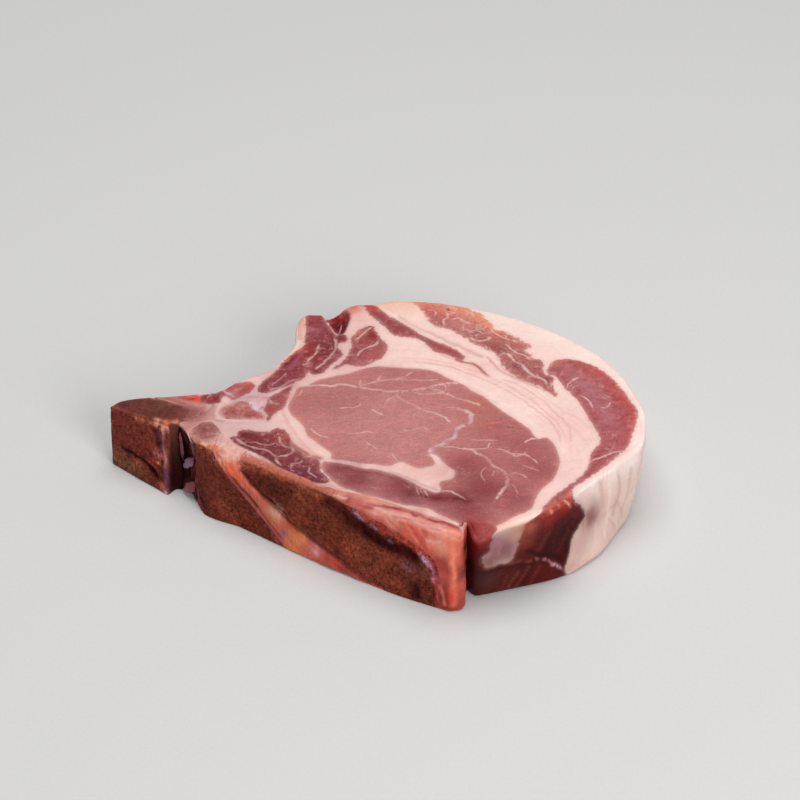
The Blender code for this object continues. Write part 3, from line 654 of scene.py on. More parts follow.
# Washes of colour over the lean and over the fat. In the fat, the pale lilac wash at (-40.8, 7) is
# a painted highlight.
LEAN_WASHES = (
    (-6, -4, 22, 0.55, 193, 138, 132), (-12, -14, 9, 0.6, 190, 126, 121),
    (-18, 9, 9, 0.8, 176, 115, 110), (-9, 10, 8, 0.7, 174, 114, 108), (30, 52, 5, 0.5, 206, 140, 132),
    (-14, 34, 2.4, 0.5, 160, 98, 106), (-20, 54, 3.4, 0.9, 122, 52, 62), (58, 22, 3, 0.6, 170, 98, 98),
    (-26, 8, 5, 0.6, 178, 112, 105), (6, 23, 13, 0.7, 178, 115, 112), (20, 20, 10, 0.5, 180, 116, 113),
    (4, 5, 9, 0.6, 194, 138, 131), (36, 5, 9, 0.8, 184, 112, 104), (40, -8, 10, 0.9, 176, 107, 104),
    (50, -18, 10, 0.85, 166, 95, 98), (54, -30, 9, 0.85, 160, 88, 91), (30, -27, 9, 0.9, 152, 82, 84),
    (36, -40, 10, 0.95, 140, 67, 71), (46, -46, 7, 0.85, 154, 84, 88), (30, -51, 7, 0.95, 146, 74, 79),
    (34, -58, 4.6, 0.95, 148, 66, 68), (36, -60, 3, 0.8, 176, 94, 90), (31, -58, 2.6, 0.9, 140, 46, 44),
    (20, -43.5, 4.5, 0.9, 120, 49, 52), (28, -44.5, 4, 0.9, 122, 50, 54),
    (-6, -33, 8, 0.95, 136, 70, 75), (8, -38, 7, 0.95, 136, 69, 74), (-12, -28, 5, 0.9, 138, 74, 78),
    (10, -44, 3.4, 0.8, 154, 96, 100), (4, -42, 2.6, 0.5, 154, 96, 100),
    (14, -45.6, 4, 0.7, 150, 92, 96), (24, -49.6, 5, 0.6, 150, 90, 95), (12, -41, 3, 0.8, 112, 48, 51),
    (16, 65, 5, 0.9, 216, 106, 86), (26, 63.5, 6, 0.9, 232, 148, 122), (34, 60, 5, 0.9, 240, 168, 142),
    (38, 55, 4, 0.8, 232, 156, 132), (42, 48, 4, 0.55, 214, 132, 112), (50, 43, 4, 0.5, 208, 130, 112),
    (20, 60, 4, 0.5, 198, 104, 100), (40, 37.6, 3.4, 0.8, 158, 92, 88), (50, 26, 5, 0.5, 160, 98, 98),
    (58, 18, 5, 0.5, 164, 98, 102), (66, 28, 5, 0.5, 192, 126, 122), (74, 23, 4, 0.85, 190, 98, 92),
    (80, 15, 4, 0.85, 184, 92, 90), (85, 7, 4, 0.85, 190, 92, 88), (87, -2, 4, 0.7, 196, 108, 106),
    (72, 14, 7, 0.6, 184, 122, 124), (78, 5, 5, 0.6, 186, 112, 114), (80, -10, 7, 0.5, 178, 104, 108),
    (78, -26, 5, 0.5, 168, 92, 96), (64, -41, 5, 0.6, 168, 94, 98), (60, -47, 4, 0.7, 176, 98, 98),
    (58, -51, 3, 0.8, 206, 112, 92), (64, -43.6, 2, 0.7, 214, 120, 98), (-4, 65, 4, 0.9, 196, 76, 66),
    (6, 54, 6, 0.5, 150, 78, 80), (24, 38, 5, 0.7, 178, 104, 99), (-22, 58, 4, 0.8, 162, 76, 78),
    (-22, 50, 5, 0.6, 160, 86, 92), (-16.6, 42, 4.5, 0.9, 120, 56, 60), (-22, 37, 4, 0.8, 158, 64, 62),
    (-27, 33, 3.6, 0.8, 144, 56, 60), (-29, 28, 4, 0.6, 132, 58, 62), (-36, 20, 4, 0.6, 126, 62, 70),
    (-24, 27, 4, 0.5, 158, 84, 88), (-36.6, 24.4, 2.4, 0.7, 178, 108, 102),
    (-3, 34, 4, 0.6, 172, 90, 94), (-3, 46, 4, 0.8, 146, 66, 66), (-6, 49, 3, 0.5, 178, 102, 98),
    (-48, 18, 4, 0.9, 186, 88, 78), (-43.4, 19.6, 2.4, 0.8, 188, 98, 90),
    (-47.6, 19.2, 1.4, 0.8, 130, 56, 60), (-56, 12, 4, 0.9, 132, 58, 62),
    (-48.4, 14, 2.4, 0.6, 190, 128, 140), (-33, 14, 3, 0.5, 166, 92, 92),
    (-30.2, -8.8, 3.6, 0.95, 168, 82, 74), (-33, -6, 3, 0.6, 150, 74, 72),
    (-26, -26, 4, 0.6, 108, 50, 62), (-20, -33, 4, 0.6, 112, 50, 62), (-42, -12, 5, 0.3, 108, 48, 54),
    (-67, 14, 5, 0.95, 190, 40, 34), (-63.6, 13.4, 2.6, 0.9, 214, 52, 40),
    (-66.6, 12.6, 2.4, 0.7, 150, 30, 20), (-73, 13.6, 3, 0.6, 160, 70, 66),
    (-56, 13, 1.6, 0.8, 140, 45, 50), (-50.4, 18, 2.4, 0.8, 178, 76, 66),
    (-46, 19, 2.4, 0.7, 196, 110, 90), (-44, 20.4, 2, 0.6, 192, 112, 100),
    (-45, 17.4, 1.3, 0.7, 140, 66, 70), (-49.4, 15, 1.8, 0.7, 192, 140, 155),
    (-47, 13.6, 1.6, 0.7, 160, 95, 105), (-36.4, 13, 1.8, 0.7, 152, 96, 106),
    (-35, 4, 2.4, 0.8, 165, 80, 78), (-45.6, 4.6, 2.4, 0.7, 184, 122, 114),
    (-41, 2.8, 1.8, 0.8, 176, 86, 84), (-48.6, 5, 1.8, 0.7, 158, 78, 70),
    (-44.6, 7.4, 1.4, 0.7, 206, 150, 134), (-31, -17.4, 1.6, 0.7, 130, 60, 68),
    (-25, -30, 3, 0.7, 104, 56, 72), (-26, -22, 3, 0.5, 128, 62, 66), (-31, 20, 4, 0.85, 140, 80, 84),
    (-44, -9, 3, 0.4, 110, 46, 52), (-22.4, 51, 1.6, 0.6, 190, 125, 130),
    (-27.6, 32, 1.6, 0.5, 152, 92, 108), (-18.4, 37.6, 3, 0.8, 116, 48, 54),
    (-1.2, 46.8, 2.2, 0.9, 134, 44, 46), (-6.4, 48.4, 2.6, 0.8, 194, 120, 110),
    (1, 37, 3, 0.6, 176, 102, 100), (-5.4, 37.4, 2, 0.6, 152, 86, 96), (43, 36.4, 1.8, 0.7, 140, 70, 65),
    (49, 27.8, 1.8, 0.8, 122, 52, 60), (35, 45.8, 1.6, 0.6, 140, 76, 76))
FAT_WASHES = (
    (50, 60, 10, 0.9, 254, 231, 221), (64, 47, 10, 0.95, 254, 231, 222),
    (76, 34, 9, 0.95, 254, 231, 221), (86, 18, 7, 0.9, 254, 232, 222), (91, 0, 6, 0.95, 255, 236, 228),
    (89, -16, 6, 0.9, 254, 232, 224), (55, 4, 8, 0.6, 252, 221, 213), (40, 18, 6, 0.5, 250, 216, 207),
    (12, -30, 6, 0.8, 232, 186, 178), (22.6, -29, 3.4, 0.8, 222, 172, 168),
    (-8, -25.4, 5, 0.7, 222, 172, 166), (34, 28, 4, 0.6, 228, 180, 171), (38, 64, 7, 0.8, 255, 240, 228),
    (-40, -2, 11, 0.8, 222, 186, 180), (-34, 24, 14, 0.8, 216, 172, 168),
    (-14, 42, 12, 0.85, 214, 168, 165), (-6, 56, 8, 0.7, 226, 182, 175),
    (-56, 2, 10, 0.8, 206, 158, 151), (-30, 52, 5, 0.7, 240, 196, 184), (-8, 28, 7, 0.7, 222, 178, 173),
    (2, 40, 14, 0.4, 246, 212, 203), (40, 24, 16, 0.4, 247, 212, 204), (66, -6, 9, 0.7, 236, 198, 193),
    (62, -34, 9, 0.6, 238, 198, 193), (54, -47, 5, 0.6, 240, 196, 188), (46, -54, 5, 0.7, 250, 214, 200),
    (-25, -8, 8, 0.8, 238, 198, 190), (-20, -16, 6, 0.8, 236, 194, 186), (-32, 0, 6, 0.8, 236, 196, 190),
    (-40, -3, 6, 0.8, 222, 186, 182), (-49, -6, 6, 0.9, 212, 174, 170),
    (-50, -13, 4, 0.9, 222, 176, 166), (-55, 4, 4.4, 0.9, 204, 152, 146),
    (-57, 8, 3, 0.8, 208, 164, 156), (-61, -1, 3.2, 0.85, 186, 118, 108),
    (-64, -4, 3, 0.9, 176, 112, 104), (-62, -6, 2, 0.8, 204, 156, 150),
    (-66, 10.6, 5, 0.9, 168, 104, 96), (-61, 9, 3.6, 0.8, 196, 140, 130),
    (-45, 12.6, 4, 0.9, 206, 168, 170), (-38, 13, 3.6, 0.8, 204, 166, 168),
    (-42.4, 13.4, 3.4, 0.7, 192, 152, 156), (-51, 10, 2.2, 0.8, 226, 180, 170),
    (-30, 19.6, 3.4, 0.85, 184, 132, 130), (-22, 22.4, 5, 0.6, 226, 182, 176),
    (-12, 27.4, 4, 0.6, 222, 178, 172), (-28, 12, 3, 0.8, 206, 152, 146),
    (-29, 42, 4, 0.6, 236, 196, 186), (-27, 55, 4, 0.8, 238, 178, 166),
    (-44, 22.6, 4, 0.8, 240, 202, 190), (-8, 58, 6, 0.6, 238, 190, 180),
    (-8, 64, 3.4, 0.9, 214, 104, 88), (-12, 60, 3, 0.9, 186, 70, 60), (10, 67, 7, 0.8, 246, 196, 166),
    (4, 65, 4, 0.7, 240, 186, 160), (-45, 4.6, 4.6, 0.95, 184, 124, 120),
    (-49.4, 3.6, 2.6, 0.9, 196, 132, 122), (-41, 2.6, 2.6, 0.8, 182, 112, 112),
    (-40.8, 7, 2.2, 0.9, 218, 186, 200), (-38.6, 1, 1.8, 0.7, 190, 110, 110),
    (-12, -23.6, 4, 0.9, 212, 168, 168), (-6, -26.2, 3, 0.9, 206, 160, 164),
    (2, -27.6, 4, 0.7, 222, 174, 170), (12, -30, 6, 0.85, 234, 188, 180),
    (22, -31, 5, 0.85, 224, 174, 166), (20, -38, 2.6, 0.7, 222, 168, 162),
    (24, -14, 3, 0.95, 186, 144, 152), (20, -18, 2.4, 0.95, 178, 138, 150),
    (27, -9, 3, 0.95, 190, 150, 160), (31, -3, 3.4, 0.95, 194, 156, 164),
    (29, 3, 2.4, 0.9, 196, 150, 150), (37, -25, 6, 0.8, 204, 136, 136), (42, -34, 6, 0.8, 198, 132, 134),
    (30, -44, 4, 0.7, 188, 118, 118), (0, 15, 9, 0.7, 208, 152, 146), (14, 13, 9, 0.7, 208, 150, 144),
    (6, 22, 8, 0.6, 206, 150, 146), (28, 8, 7, 0.7, 212, 150, 138), (12, 3, 8, 0.7, 206, 146, 136),
    (-31, -15, 5, 0.8, 196, 148, 152), (-24, -26, 4, 0.7, 186, 130, 136),
    (-40, -12, 4, 0.6, 190, 134, 138), (-33, 8, 2, 0.8, 206, 156, 166),
    (-36, -21, 4, 0.9, 196, 138, 132), (-28, -29, 4, 0.9, 202, 146, 140),
    (-20, -35.4, 4, 0.9, 206, 150, 146), (-12, -38.6, 4, 0.9, 206, 140, 136),
    (-3, -43.6, 4, 0.9, 206, 138, 136), (6, -47.4, 4, 0.9, 214, 146, 142),
    (14, -50, 4, 0.9, 216, 150, 144), (22, -54.4, 4, 0.9, 224, 164, 156),
    (29, -59.6, 2.6, 0.9, 214, 140, 130), (-46, -15.6, 3.6, 0.7, 202, 146, 140),
    (-15, -33.6, 1.6, 0.9, 214, 164, 160), (36, -62, 3, 0.9, 206, 130, 116),
    (42, -58.6, 3, 0.7, 236, 186, 170))

# Strokes over the lean and over the fat: half their width, strength, colour, points. In the fat,
# the pale lilac stroke from (-42.4, 9) is a painted highlight.
LEAN_STROKES = (
    (1.6, 0.55, 192, 88, 80, (64, 30.6), (71, 28.4), (76.6, 22.4), (80.8, 15), (84.2, 8), (86.4, 1),
     (86, -6), (84.4, -14)),
    (1.7, 0.35, 166, 80, 84, (70, 26.6), (76, 18), (80, 10), (82.8, 3), (83.4, -6)),
    (2.6, 0.45, 178, 124, 130, (68, 22), (72, 13), (76, 5), (78, -6)),
    (1, 0.5, 202, 124, 108, (59.4, 26), (62, 29), (66, 30.2)),
    (1.1, 0.5, 150, 70, 72, (-2.6, 62), (2, 56.4), (8, 50.6), (14, 45), (20, 40.6), (27, 36.4)),
    (0.9, 0.5, 166, 104, 108, (-2, 58.6), (1.4, 54.6), (5, 49.4)),
    (2.2, 0.8, 236, 150, 122, (12, 66.6), (20, 65.8), (28, 62.8), (33, 60), (38, 56), (39.4, 52),
     (41.6, 48.6)),
    (1.2, 0.6, 212, 132, 114, (42, 47.6), (48, 43.6), (52.6, 38.8), (53.4, 32)),
    (1.3, 0.8, 187, 70, 60, (-31, 34), (-27.4, 38), (-24.6, 41)),
    (0.8, 0.6, 110, 34, 44, (-31.6, 30), (-29.6, 33.6), (-27.6, 36.4)),
    (0.7, 0.5, 158, 108, 126, (-29.6, 28), (-28.6, 31), (-26.4, 35.4)),
    (1, 0.7, 180, 76, 68, (-25, 60.2), (-22, 60.8), (-19.4, 60)),
    (1.1, 0.8, 190, 74, 62, (-4.4, 66), (-2, 65.2), (0.4, 63.4)),
    (1.4, 0.75, 114, 40, 42, (15.4, -41.8), (20, -43.8), (26, -44.8), (30.4, -46.2)),
    (1, 0.5, 132, 62, 66, (-13, -26.4), (-6, -29), (0, -30.4), (6, -33.4), (12, -37)),
    (0.9, 0.5, 112, 50, 58, (-46.6, -11.6), (-42, -15), (-37, -18.4), (-33, -23)),
    (1, 0.4, 196, 126, 112, (-28.6, 14), (-29, 8), (-27, 1), (-24, -5), (-20.6, -11), (-16.4, -17.6)),
    (0.8, 0.5, 206, 122, 106, (35.6, -5.4), (40, -4.6), (46, -3)),
    (0.7, 0.6, 186, 64, 58, (-18.4, 58.4), (-15.4, 59.8), (-12.8, 62.8)),
    (0.7, 0.6, 170, 76, 84, (-17.4, 56.4), (-15.6, 52.8), (-14, 49.8)))
FAT_STROKES = (
    (1.2, 0.95, 196, 134, 124, (-45.4, -17.2), (-42.4, -20.4)),
    (0.9, 0.8, 158, 74, 76, (-3, -45.6), (3, -48), (9, -49.8), (15, -52.6), (21, -56.4)),
    (0.5, 0.8, 120, 44, 50, (-34, -24.2), (-28, -28.6), (-22, -33.6), (-16, -37.2)),
    (1.5, 0.95, 206, 42, 36, (-71, 13.2), (-67.4, 12.8), (-64.4, 12.6), (-61.4, 12.4)),
    (1.2, 0.95, 232, 62, 52, (-66.4, 14.4), (-63, 14.8), (-61.2, 13.6), (-61, 11.4)),
    (0.8, 0.9, 152, 20, 16, (-66.8, 12.8), (-64.6, 12.4), (-62.8, 12.2)),
    (0.7, 0.7, 222, 120, 110, (-75, 13.6), (-72, 13.4), (-69, 13.4)),
    (1.1, 0.85, 170, 114, 112, (-72, 12.4), (-69, 11), (-66, 9.4), (-62, 8), (-58.4, 7)),
    (0.9, 0.9, 176, 116, 108, (-52, 6), (-50, 8.2), (-46, 9.8), (-43, 8)),
    (1.6, 0.85, 184, 120, 106, (-50, 4.8), (-47, 6.4), (-44, 5.4), (-41.6, 4)),
    (1.2, 0.8, 190, 128, 120, (-49, 2.8), (-45, 3), (-41, 2.2)),
    (0.42, 0.6, 122, 66, 66, (-51, 6.2), (-49, 8), (-46, 10)),
    (0.5, 0.7, 168, 92, 84, (-49.6, 4), (-46, 5), (-43, 3.6)),
    (0.5, 0.7, 214, 172, 160, (-49, 5.4), (-46.4, 7), (-44, 6.6)),
    (0.6, 0.6, 150, 84, 84, (-41.4, 4.4), (-39.6, 5.6), (-38.4, 7.4)),
    (0.8, 0.6, 196, 160, 172, (-40, 9.6), (-38.4, 12), (-36.4, 15)),
    (0.7, 0.6, 188, 140, 146, (-44, 12.4), (-40, 12.8), (-37, 12)),
    (0.5, 0.7, 206, 170, 166, (-50.4, 7.4), (-48, 9.4), (-45.6, 11)),
    (0.5, 0.6, 178, 104, 104, (-52.2, 5), (-51.2, 2.6), (-49.4, 1.4), (-45.6, 1)),
    (0.6, 0.75, 226, 194, 190, (-52, 12), (-52.8, 9.4), (-53.8, 6), (-53.4, 2.6), (-51, 0.2),
     (-46, -0.6), (-40.6, -0.8)),
    (0.4, 0.7, 188, 138, 134, (-54.6, 8), (-54.8, 4), (-54, 0.6), (-51.4, -1)),
    (1, 0.9, 220, 196, 214, (-42.4, 9), (-41.2, 7.4), (-40.4, 5.6)),
    (0.8, 0.9, 180, 82, 80, (-40.6, 2.6), (-39.4, 1.6)),
    (0.4, 0.7, 104, 40, 44, (-50.6, 1), (-49.8, 0.7)),
    (0.5, 0.8, 238, 208, 198, (-52.2, 11.4), (-51.4, 10.6)),
    (0.8, 0.6, 208, 182, 190, (-50, 10.6), (-46, 13), (-41, 14.4), (-36.4, 13.6)),
    (1.1, 0.6, 205, 155, 145, (8, 57), (14, 51), (22, 45), (28, 40), (33, 36), (36, 33.6)),
    (0.5, 0.6, 250, 226, 218, (2, 63), (8, 56.4), (15, 49.6), (22, 43.4), (30, 36.6)),
    (0.45, 0.75, 208, 136, 132, (38, 33), (41, 28), (44, 24), (50, 19), (55.4, 14.6)),
    (0.35, 0.65, 216, 150, 144, (42.6, 28.4), (46, 23.6), (52, 18.6), (57.4, 12.8)),
    (0.32, 0.65, 216, 158, 148, (14, 31), (22, 29), (30, 25), (36, 21), (42, 16), (46, 12), (52, 5),
     (58, -3), (61, -10), (62, -16)),
    (0.28, 0.5, 220, 164, 156, (18, 32), (28, 28.6), (36, 23), (44, 16.4), (52, 8), (58, 0), (62, -8),
     (64, -14), (65, -20)),
    (0.36, 0.55, 214, 156, 150, (44, 20), (52, 13), (58, 5), (62, -2), (65, -9), (65.4, -15)),
    (0.22, 0.5, 222, 166, 156, (30, 27.6), (38, 22.6), (46, 15.4), (53, 7.4), (59, -1.4)),
    (0.9, 0.4, 253, 224, 216, (10, 29.4), (20, 27.8), (26, 23), (32, 18), (38, 12.6), (44, 5.8),
     (50, -1.4), (55, -8.6)),
    (0.8, 0.5, 232, 158, 148, (19, 38.6), (23, 35), (27.6, 32.4)),
    (1, 0.85, 217, 110, 88, (-12, 64), (-9, 65.2), (-4, 66.4)),
    (0.9, 0.7, 224, 152, 134, (-26.6, 58), (-26.9, 52), (-26.4, 46)),
    (0.7, 0.6, 250, 222, 210, (-28, 54), (-28, 48), (-28, 42), (-31, 36), (-35, 29.6)),
    (0.7, 0.7, 200, 140, 134, (-47, -15.6), (-42, -19.4), (-37, -22.6), (-31, -27.4), (-24, -33),
     (-17, -37)),
    (0.7, 0.85, 200, 150, 145, (-46, -16.4), (-40, -21), (-33, -25.8), (-28, -30.2), (-24, -33),
     (-19, -35.6), (-14, -36.4)),
    (0.8, 0.6, 176, 112, 118, (-14, -24.6), (-9, -26.2), (-5, -27.8)),
    (1.2, 0.9, 168, 98, 92, (-29.4, -11.6), (-28, -14), (-25, -17), (-22, -20), (-18.6, -21.4)),
    (0.7, 0.6, 190, 150, 160, (5, -29.8), (12, -34), (17, -37.6), (20.4, -39.6)),
    (0.7, 0.6, 200, 164, 172, (22, -24.4), (25.2, -28), (26.2, -31), (24.6, -34)),
    (0.8, 0.5, 214, 160, 152, (-20, -20), (-24, -14), (-27, -8), (-30, -1), (-31.4, 5)),
    (1, 0.5, 212, 166, 160, (-54, -12), (-52.4, -8), (-52.6, -4)),
    (0.9, 0.6, 186, 128, 126, (-62, -1.4), (-58.6, 0.2), (-56.4, 3), (-56.6, 6.4)),
    (0.6, 0.5, 228, 190, 184, (-57.6, 6), (-57, 9), (-59, 11.6)),
    (0.5, 0.6, 174, 110, 112, (-69, 12.6), (-64, 10.8), (-59.6, 9.6), (-56, 9.6)),
    (0.5, 0.5, 160, 96, 100, (-58, 4), (-55.6, 7.4), (-55, 11)),
    (0.7, 0.6, 204, 170, 176, (-52.6, -13), (-51.6, -11), (-52, -8.6)),
    (2, 0.5, 188, 132, 126, (-76, 16), (-70, 13.4), (-64, 10.4), (-58.6, 7.4), (-56.6, 4), (-58, 0.8),
     (-62, -1.4), (-65.4, -2)),
    (1, 0.85, 164, 102, 96, (-76.4, 14.8), (-72.4, 13), (-68.6, 11.2), (-64.6, 9), (-60.4, 7),
     (-58.4, 4.8), (-58.6, 2), (-61.4, 0.4), (-64.8, -0.4)),
    (0.9, 0.7, 172, 82, 80, (-17, -37.6), (-11, -40.8), (-5, -44.4), (1, -47.4), (8, -50)),
    (0.5, 0.7, 236, 192, 182, (-12.6, -36.8), (-7, -41.4), (-1, -44.2), (6, -46.6), (14, -48.8)),
    (0.6, 0.6, 186, 92, 84, (-26, -33), (-20, -36.6), (-15, -39.6)))

# The bones' tops, where the flesh dips under them
VERTEBRA_TOP = ((-66.1, -3.0), (-66.1, -1.0), (-64.6, 0.4), (-61.6, 1.0), (-59.4, 2.4),
                (-59.2, 4.6), (-61.2, 6.6), (-65.4, 8.4), (-69.4, 10.4), (-72.6, 12.2),
                (-76.4, 14.0), (-78.6, 17.5), (-96.0, 14.0), (-90.0, 0.0))
PROCESS_TOP = (
    (-66, -16), (-62.6, -7.4), (-61.4, -4.6), (-58.4, -0.8), (-54.8, -1), (-52.4, -5.4), (-49.4, -11.8),
    (-45.4, -16.6), (-41.6, -21.2), (-36, -24.9), (-31, -28.1), (-24, -32.6), (-16.6, -37.4),
    (-10.6, -40), (-4, -42.4), (3, -45.6), (10, -49), (23.4, -56.4), (29.2, -58.4), (26, -70), (0, -60))

# The front of the side, as distance from the groove and height: its dark muscle, and washes.
# The near-black washes within 5 mm of the groove are painted shade in the groove; the
# near-white short strokes at the top edge of the lean, the one at 8 to 9.4 in the fat and the white
# stroke along the fat's top edge are painted highlights.
FRONT_RED = (
    (24.6, 38), (43.6, 38), (44.6, 29.6), (47, 26), (49.4, 22.6), (50, 20.6), (47.4, 18.6), (44.6, 16),
    (43, 12), (41.4, 8), (40.6, 4), (40.2, -3), (-4, -3), (-4, 38), (10, 38), (10.6, 31), (12, 28),
    (10.8, 25.4), (10.4, 22.4), (8.2, 20.8), (8, 18.4), (9, 14.6), (13, 14.6), (16, 14.2), (18.6, 16),
    (20, 19.4), (20.8, 23), (22.6, 27.6))
FRONT_LEAN_WASHES_WITH_SHADE = (
    (38, 21, 9, 0.97, 52, 3, 5), (33, 14, 8, 0.95, 46, 3, 5), (40, 12, 6, 0.85, 52, 6, 8),
    (46, 22, 4, 0.9, 54, 8, 12), (6, 27, 4, 0.9, 130, 34, 32), (9, 30, 2.6, 0.8, 178, 86, 78),
    (5, 21, 3.4, 0.8, 86, 16, 14), (24.4, 28.4, 3.6, 0.95, 172, 90, 74),
    (22.4, 22, 3.4, 0.9, 138, 62, 54), (22, 15, 4, 0.7, 96, 30, 24), (24, 6, 9, 0.95, 78, 14, 10),
    (14, 6, 6, 0.9, 80, 32, 26), (34, 3, 6, 0.8, 90, 22, 16), (8, 9, 4, 0.85, 74, 44, 46),
    (2, 12, 6, 0.95, 34, 4, 4), (4, 3, 4, 0.8, 44, 14, 14), (45, 24, 2.6, 0.6, 96, 34, 46),
    (40, 28.6, 3, 0.8, 168, 40, 30), (33, 28.6, 4, 0.8, 150, 40, 32), (43, 30.4, 2.4, 0.7, 196, 92, 78),
    (22, 4, 5, 0.6, 72, 10, 8))
FRONT_LEAN_STROKES_WITH_GLINTS = (
    (0.5, 0.6, 112, 40, 40, (29, 16), (32, 21), (35, 24.4)),
    (0.4, 0.5, 104, 36, 38, (34, 17), (37, 21), (40, 23)),
    (0.5, 0.5, 96, 30, 30, (37, 12), (40, 17), (44, 20.6)),
    (0.4, 0.5, 150, 84, 66, (9, 13.8), (15, 14.4), (20, 13.6), (25, 12)),
    (1.2, 0.5, 30, 6, 6, (8, 12.6), (14, 13), (20, 12), (26, 10)),
    (0.5, 0.8, 126, 62, 50, (16.6, 1), (18, 4), (20, 8.4)),
    (0.5, 0.8, 122, 52, 40, (19.6, 0.8), (21.6, 5), (24, 9.6)),
    (0.5, 0.8, 120, 44, 34, (25, 0.8), (27, 5), (29, 9)),
    (0.6, 0.7, 56, 14, 10, (22, 1), (24, 5.6), (26, 9.6)),
    (0.6, 0.7, 60, 16, 10, (14, 5), (15.4, 9), (17.4, 12)),
    (0.5, 0.7, 104, 40, 42, (26, 13), (29, 18), (32, 22.4)),
    (0.5, 0.5, 124, 40, 30, (13.4, 0.8), (15, 4.6), (16.6, 8)),
    (0.32, 0.9, 180, 118, 130, (27.4, 13), (30, 11.9), (32, 10.5), (33.6, 8.6)),
    (0.34, 0.95, 220, 170, 178, (33.8, 8.2), (35.4, 6.7), (37.4, 5.4), (38.6, 4.5)),
    (0.26, 0.6, 146, 80, 96, (38.4, 4.5), (39.6, 3.7), (41, 3.3)),
    (0.5, 0.8, 186, 84, 62, (28, 30), (33, 30.4), (38, 30), (42, 29.4)),
    (0.32, 0.9, 250, 190, 166, (33, 31.4), (34.4, 29.8)),
    (0.3, 0.9, 252, 196, 176, (40, 30.6), (42.6, 28.2)),
    (0.3, 0.8, 246, 186, 160, (36.4, 31.4), (37.6, 30.4)),
    (0.8, 0.8, 36, 6, 8, (24, 17), (28, 14.6), (33, 12), (38, 8)))
FRONT_FAT_WASHES = (
    (15, 22, 8, 0.98, 134, 78, 83), (12.6, 26, 4, 0.8, 160, 108, 118), (10, 17, 4, 0.8, 122, 68, 70),
    (17.6, 18, 3, 0.6, 140, 92, 96), (20, 29, 4, 0.8, 190, 136, 118), (23.6, 28, 2.6, 0.9, 176, 92, 74),
    (21.4, 23, 1.6, 0.8, 150, 78, 66), (46.6, 26.4, 2.4, 0.8, 196, 150, 160),
    (50, 28, 4, 0.5, 226, 192, 188), (52.4, 18.4, 5, 0.98, 136, 92, 88),
    (52, 25, 3.4, 0.8, 196, 160, 154), (50, 17, 3, 0.7, 176, 124, 118), (46, 11, 5, 0.8, 196, 156, 148),
    (51, 12, 4, 0.5, 206, 168, 160), (60, 20, 5, 0.4, 226, 194, 184), (43, 4, 4, 0.7, 204, 160, 150),
    (50.6, 2, 2, 0.7, 232, 176, 146), (64, 8, 7, 0.5, 212, 184, 174), (54, 30, 5, 0.6, 250, 232, 224),
    (64, 30.4, 6, 0.6, 255, 240, 232), (74, 29, 6, 0.7, 255, 240, 232), (74, 14, 6, 0.5, 236, 212, 202),
    (62, 2.6, 8, 0.5, 232, 200, 186), (52, 18, 4, 0.5, 126, 82, 80))
FRONT_FAT_STROKES_WITH_HIGHLIGHTS = (
    (0.5, 0.7, 182, 126, 120, (20.6, 20.4), (19.4, 18.4), (17.8, 16)),
    (0.6, 0.6, 176, 122, 130, (13, 28), (14, 24), (13.4, 20)),
    (0.5, 0.7, 252, 206, 184, (8, 31), (9.4, 29)),
    (0.7, 0.9, 255, 246, 240, (45, 30.2), (50, 30.4), (58, 30.2), (66, 30.6), (75, 30.8)),
    (0.34, 0.9, 236, 200, 216, (44.2, 29), (46, 26.9), (47.6, 25)),
    (0.8, 0.5, 236, 208, 196, (53, 3), (54.4, 8), (54.8, 14)),
    (0.6, 0.5, 190, 152, 146, (57, 15), (61, 16), (64, 15)),
    (0.5, 0.5, 196, 162, 154, (60, 14), (63, 9), (65, 5)),
    (0.5, 0.5, 194, 160, 152, (65, 16), (68, 10), (70, 6)),
    (0.5, 0.4, 238, 212, 202, (62, 13), (65.4, 8), (67, 3)),
    (0.8, 0.5, 196, 160, 150, (48, 22), (50, 18), (49, 12)),
    (1.1, 0.6, 202, 164, 154, (57, 29), (58, 22), (56, 14)),
    (0.8, 0.6, 242, 220, 210, (61, 28), (61.6, 19), (58.6, 7)),
    (0.8, 0.6, 186, 150, 144, (66, 27), (66.4, 20), (63.4, 12)),
    (0.7, 0.6, 200, 166, 156, (72, 26), (71.4, 17), (69, 9)))

# Marks on the canal's back wall, by distance round it and height: the darkest ones are
# painted shade deep in the slot, the others membrane and raw flesh
CANAL_SHADE_AND_MARKS = (
    (4, 0.95, 34, 8, 8, (25.4, 28), (25.8, 14), (26, 0)),
    (2.6, 0.9, 58, 16, 18, (30, 26), (30.6, 18), (31, 8)),
    (2, 0.8, 140, 92, 96, (31, 29), (34, 25), (38, 21)),
    (1.4, 0.8, 96, 44, 46, (28, 28.6), (28.6, 25), (28.4, 21)),
    (1.4, 0.9, 30, 6, 8, (29, 13), (32, 9.6), (35, 12)),
    (1.8, 0.95, 164, 98, 100, (28.4, 0.8), (32, 4.4), (36, 8.4)),
    (0.7, 0.8, 206, 150, 150, (31.6, 3), (34.6, 6.4)),
    (1, 0.8, 150, 60, 56, (26.4, 1.2), (29, 3.4), (32, 7)))


EYE_REACH = 26.0
VEIN_REACH = 3.0
SWAY = 4.0
CANAL_CORNER = (-66.4, -1.2)
CANAL_START = 26.4


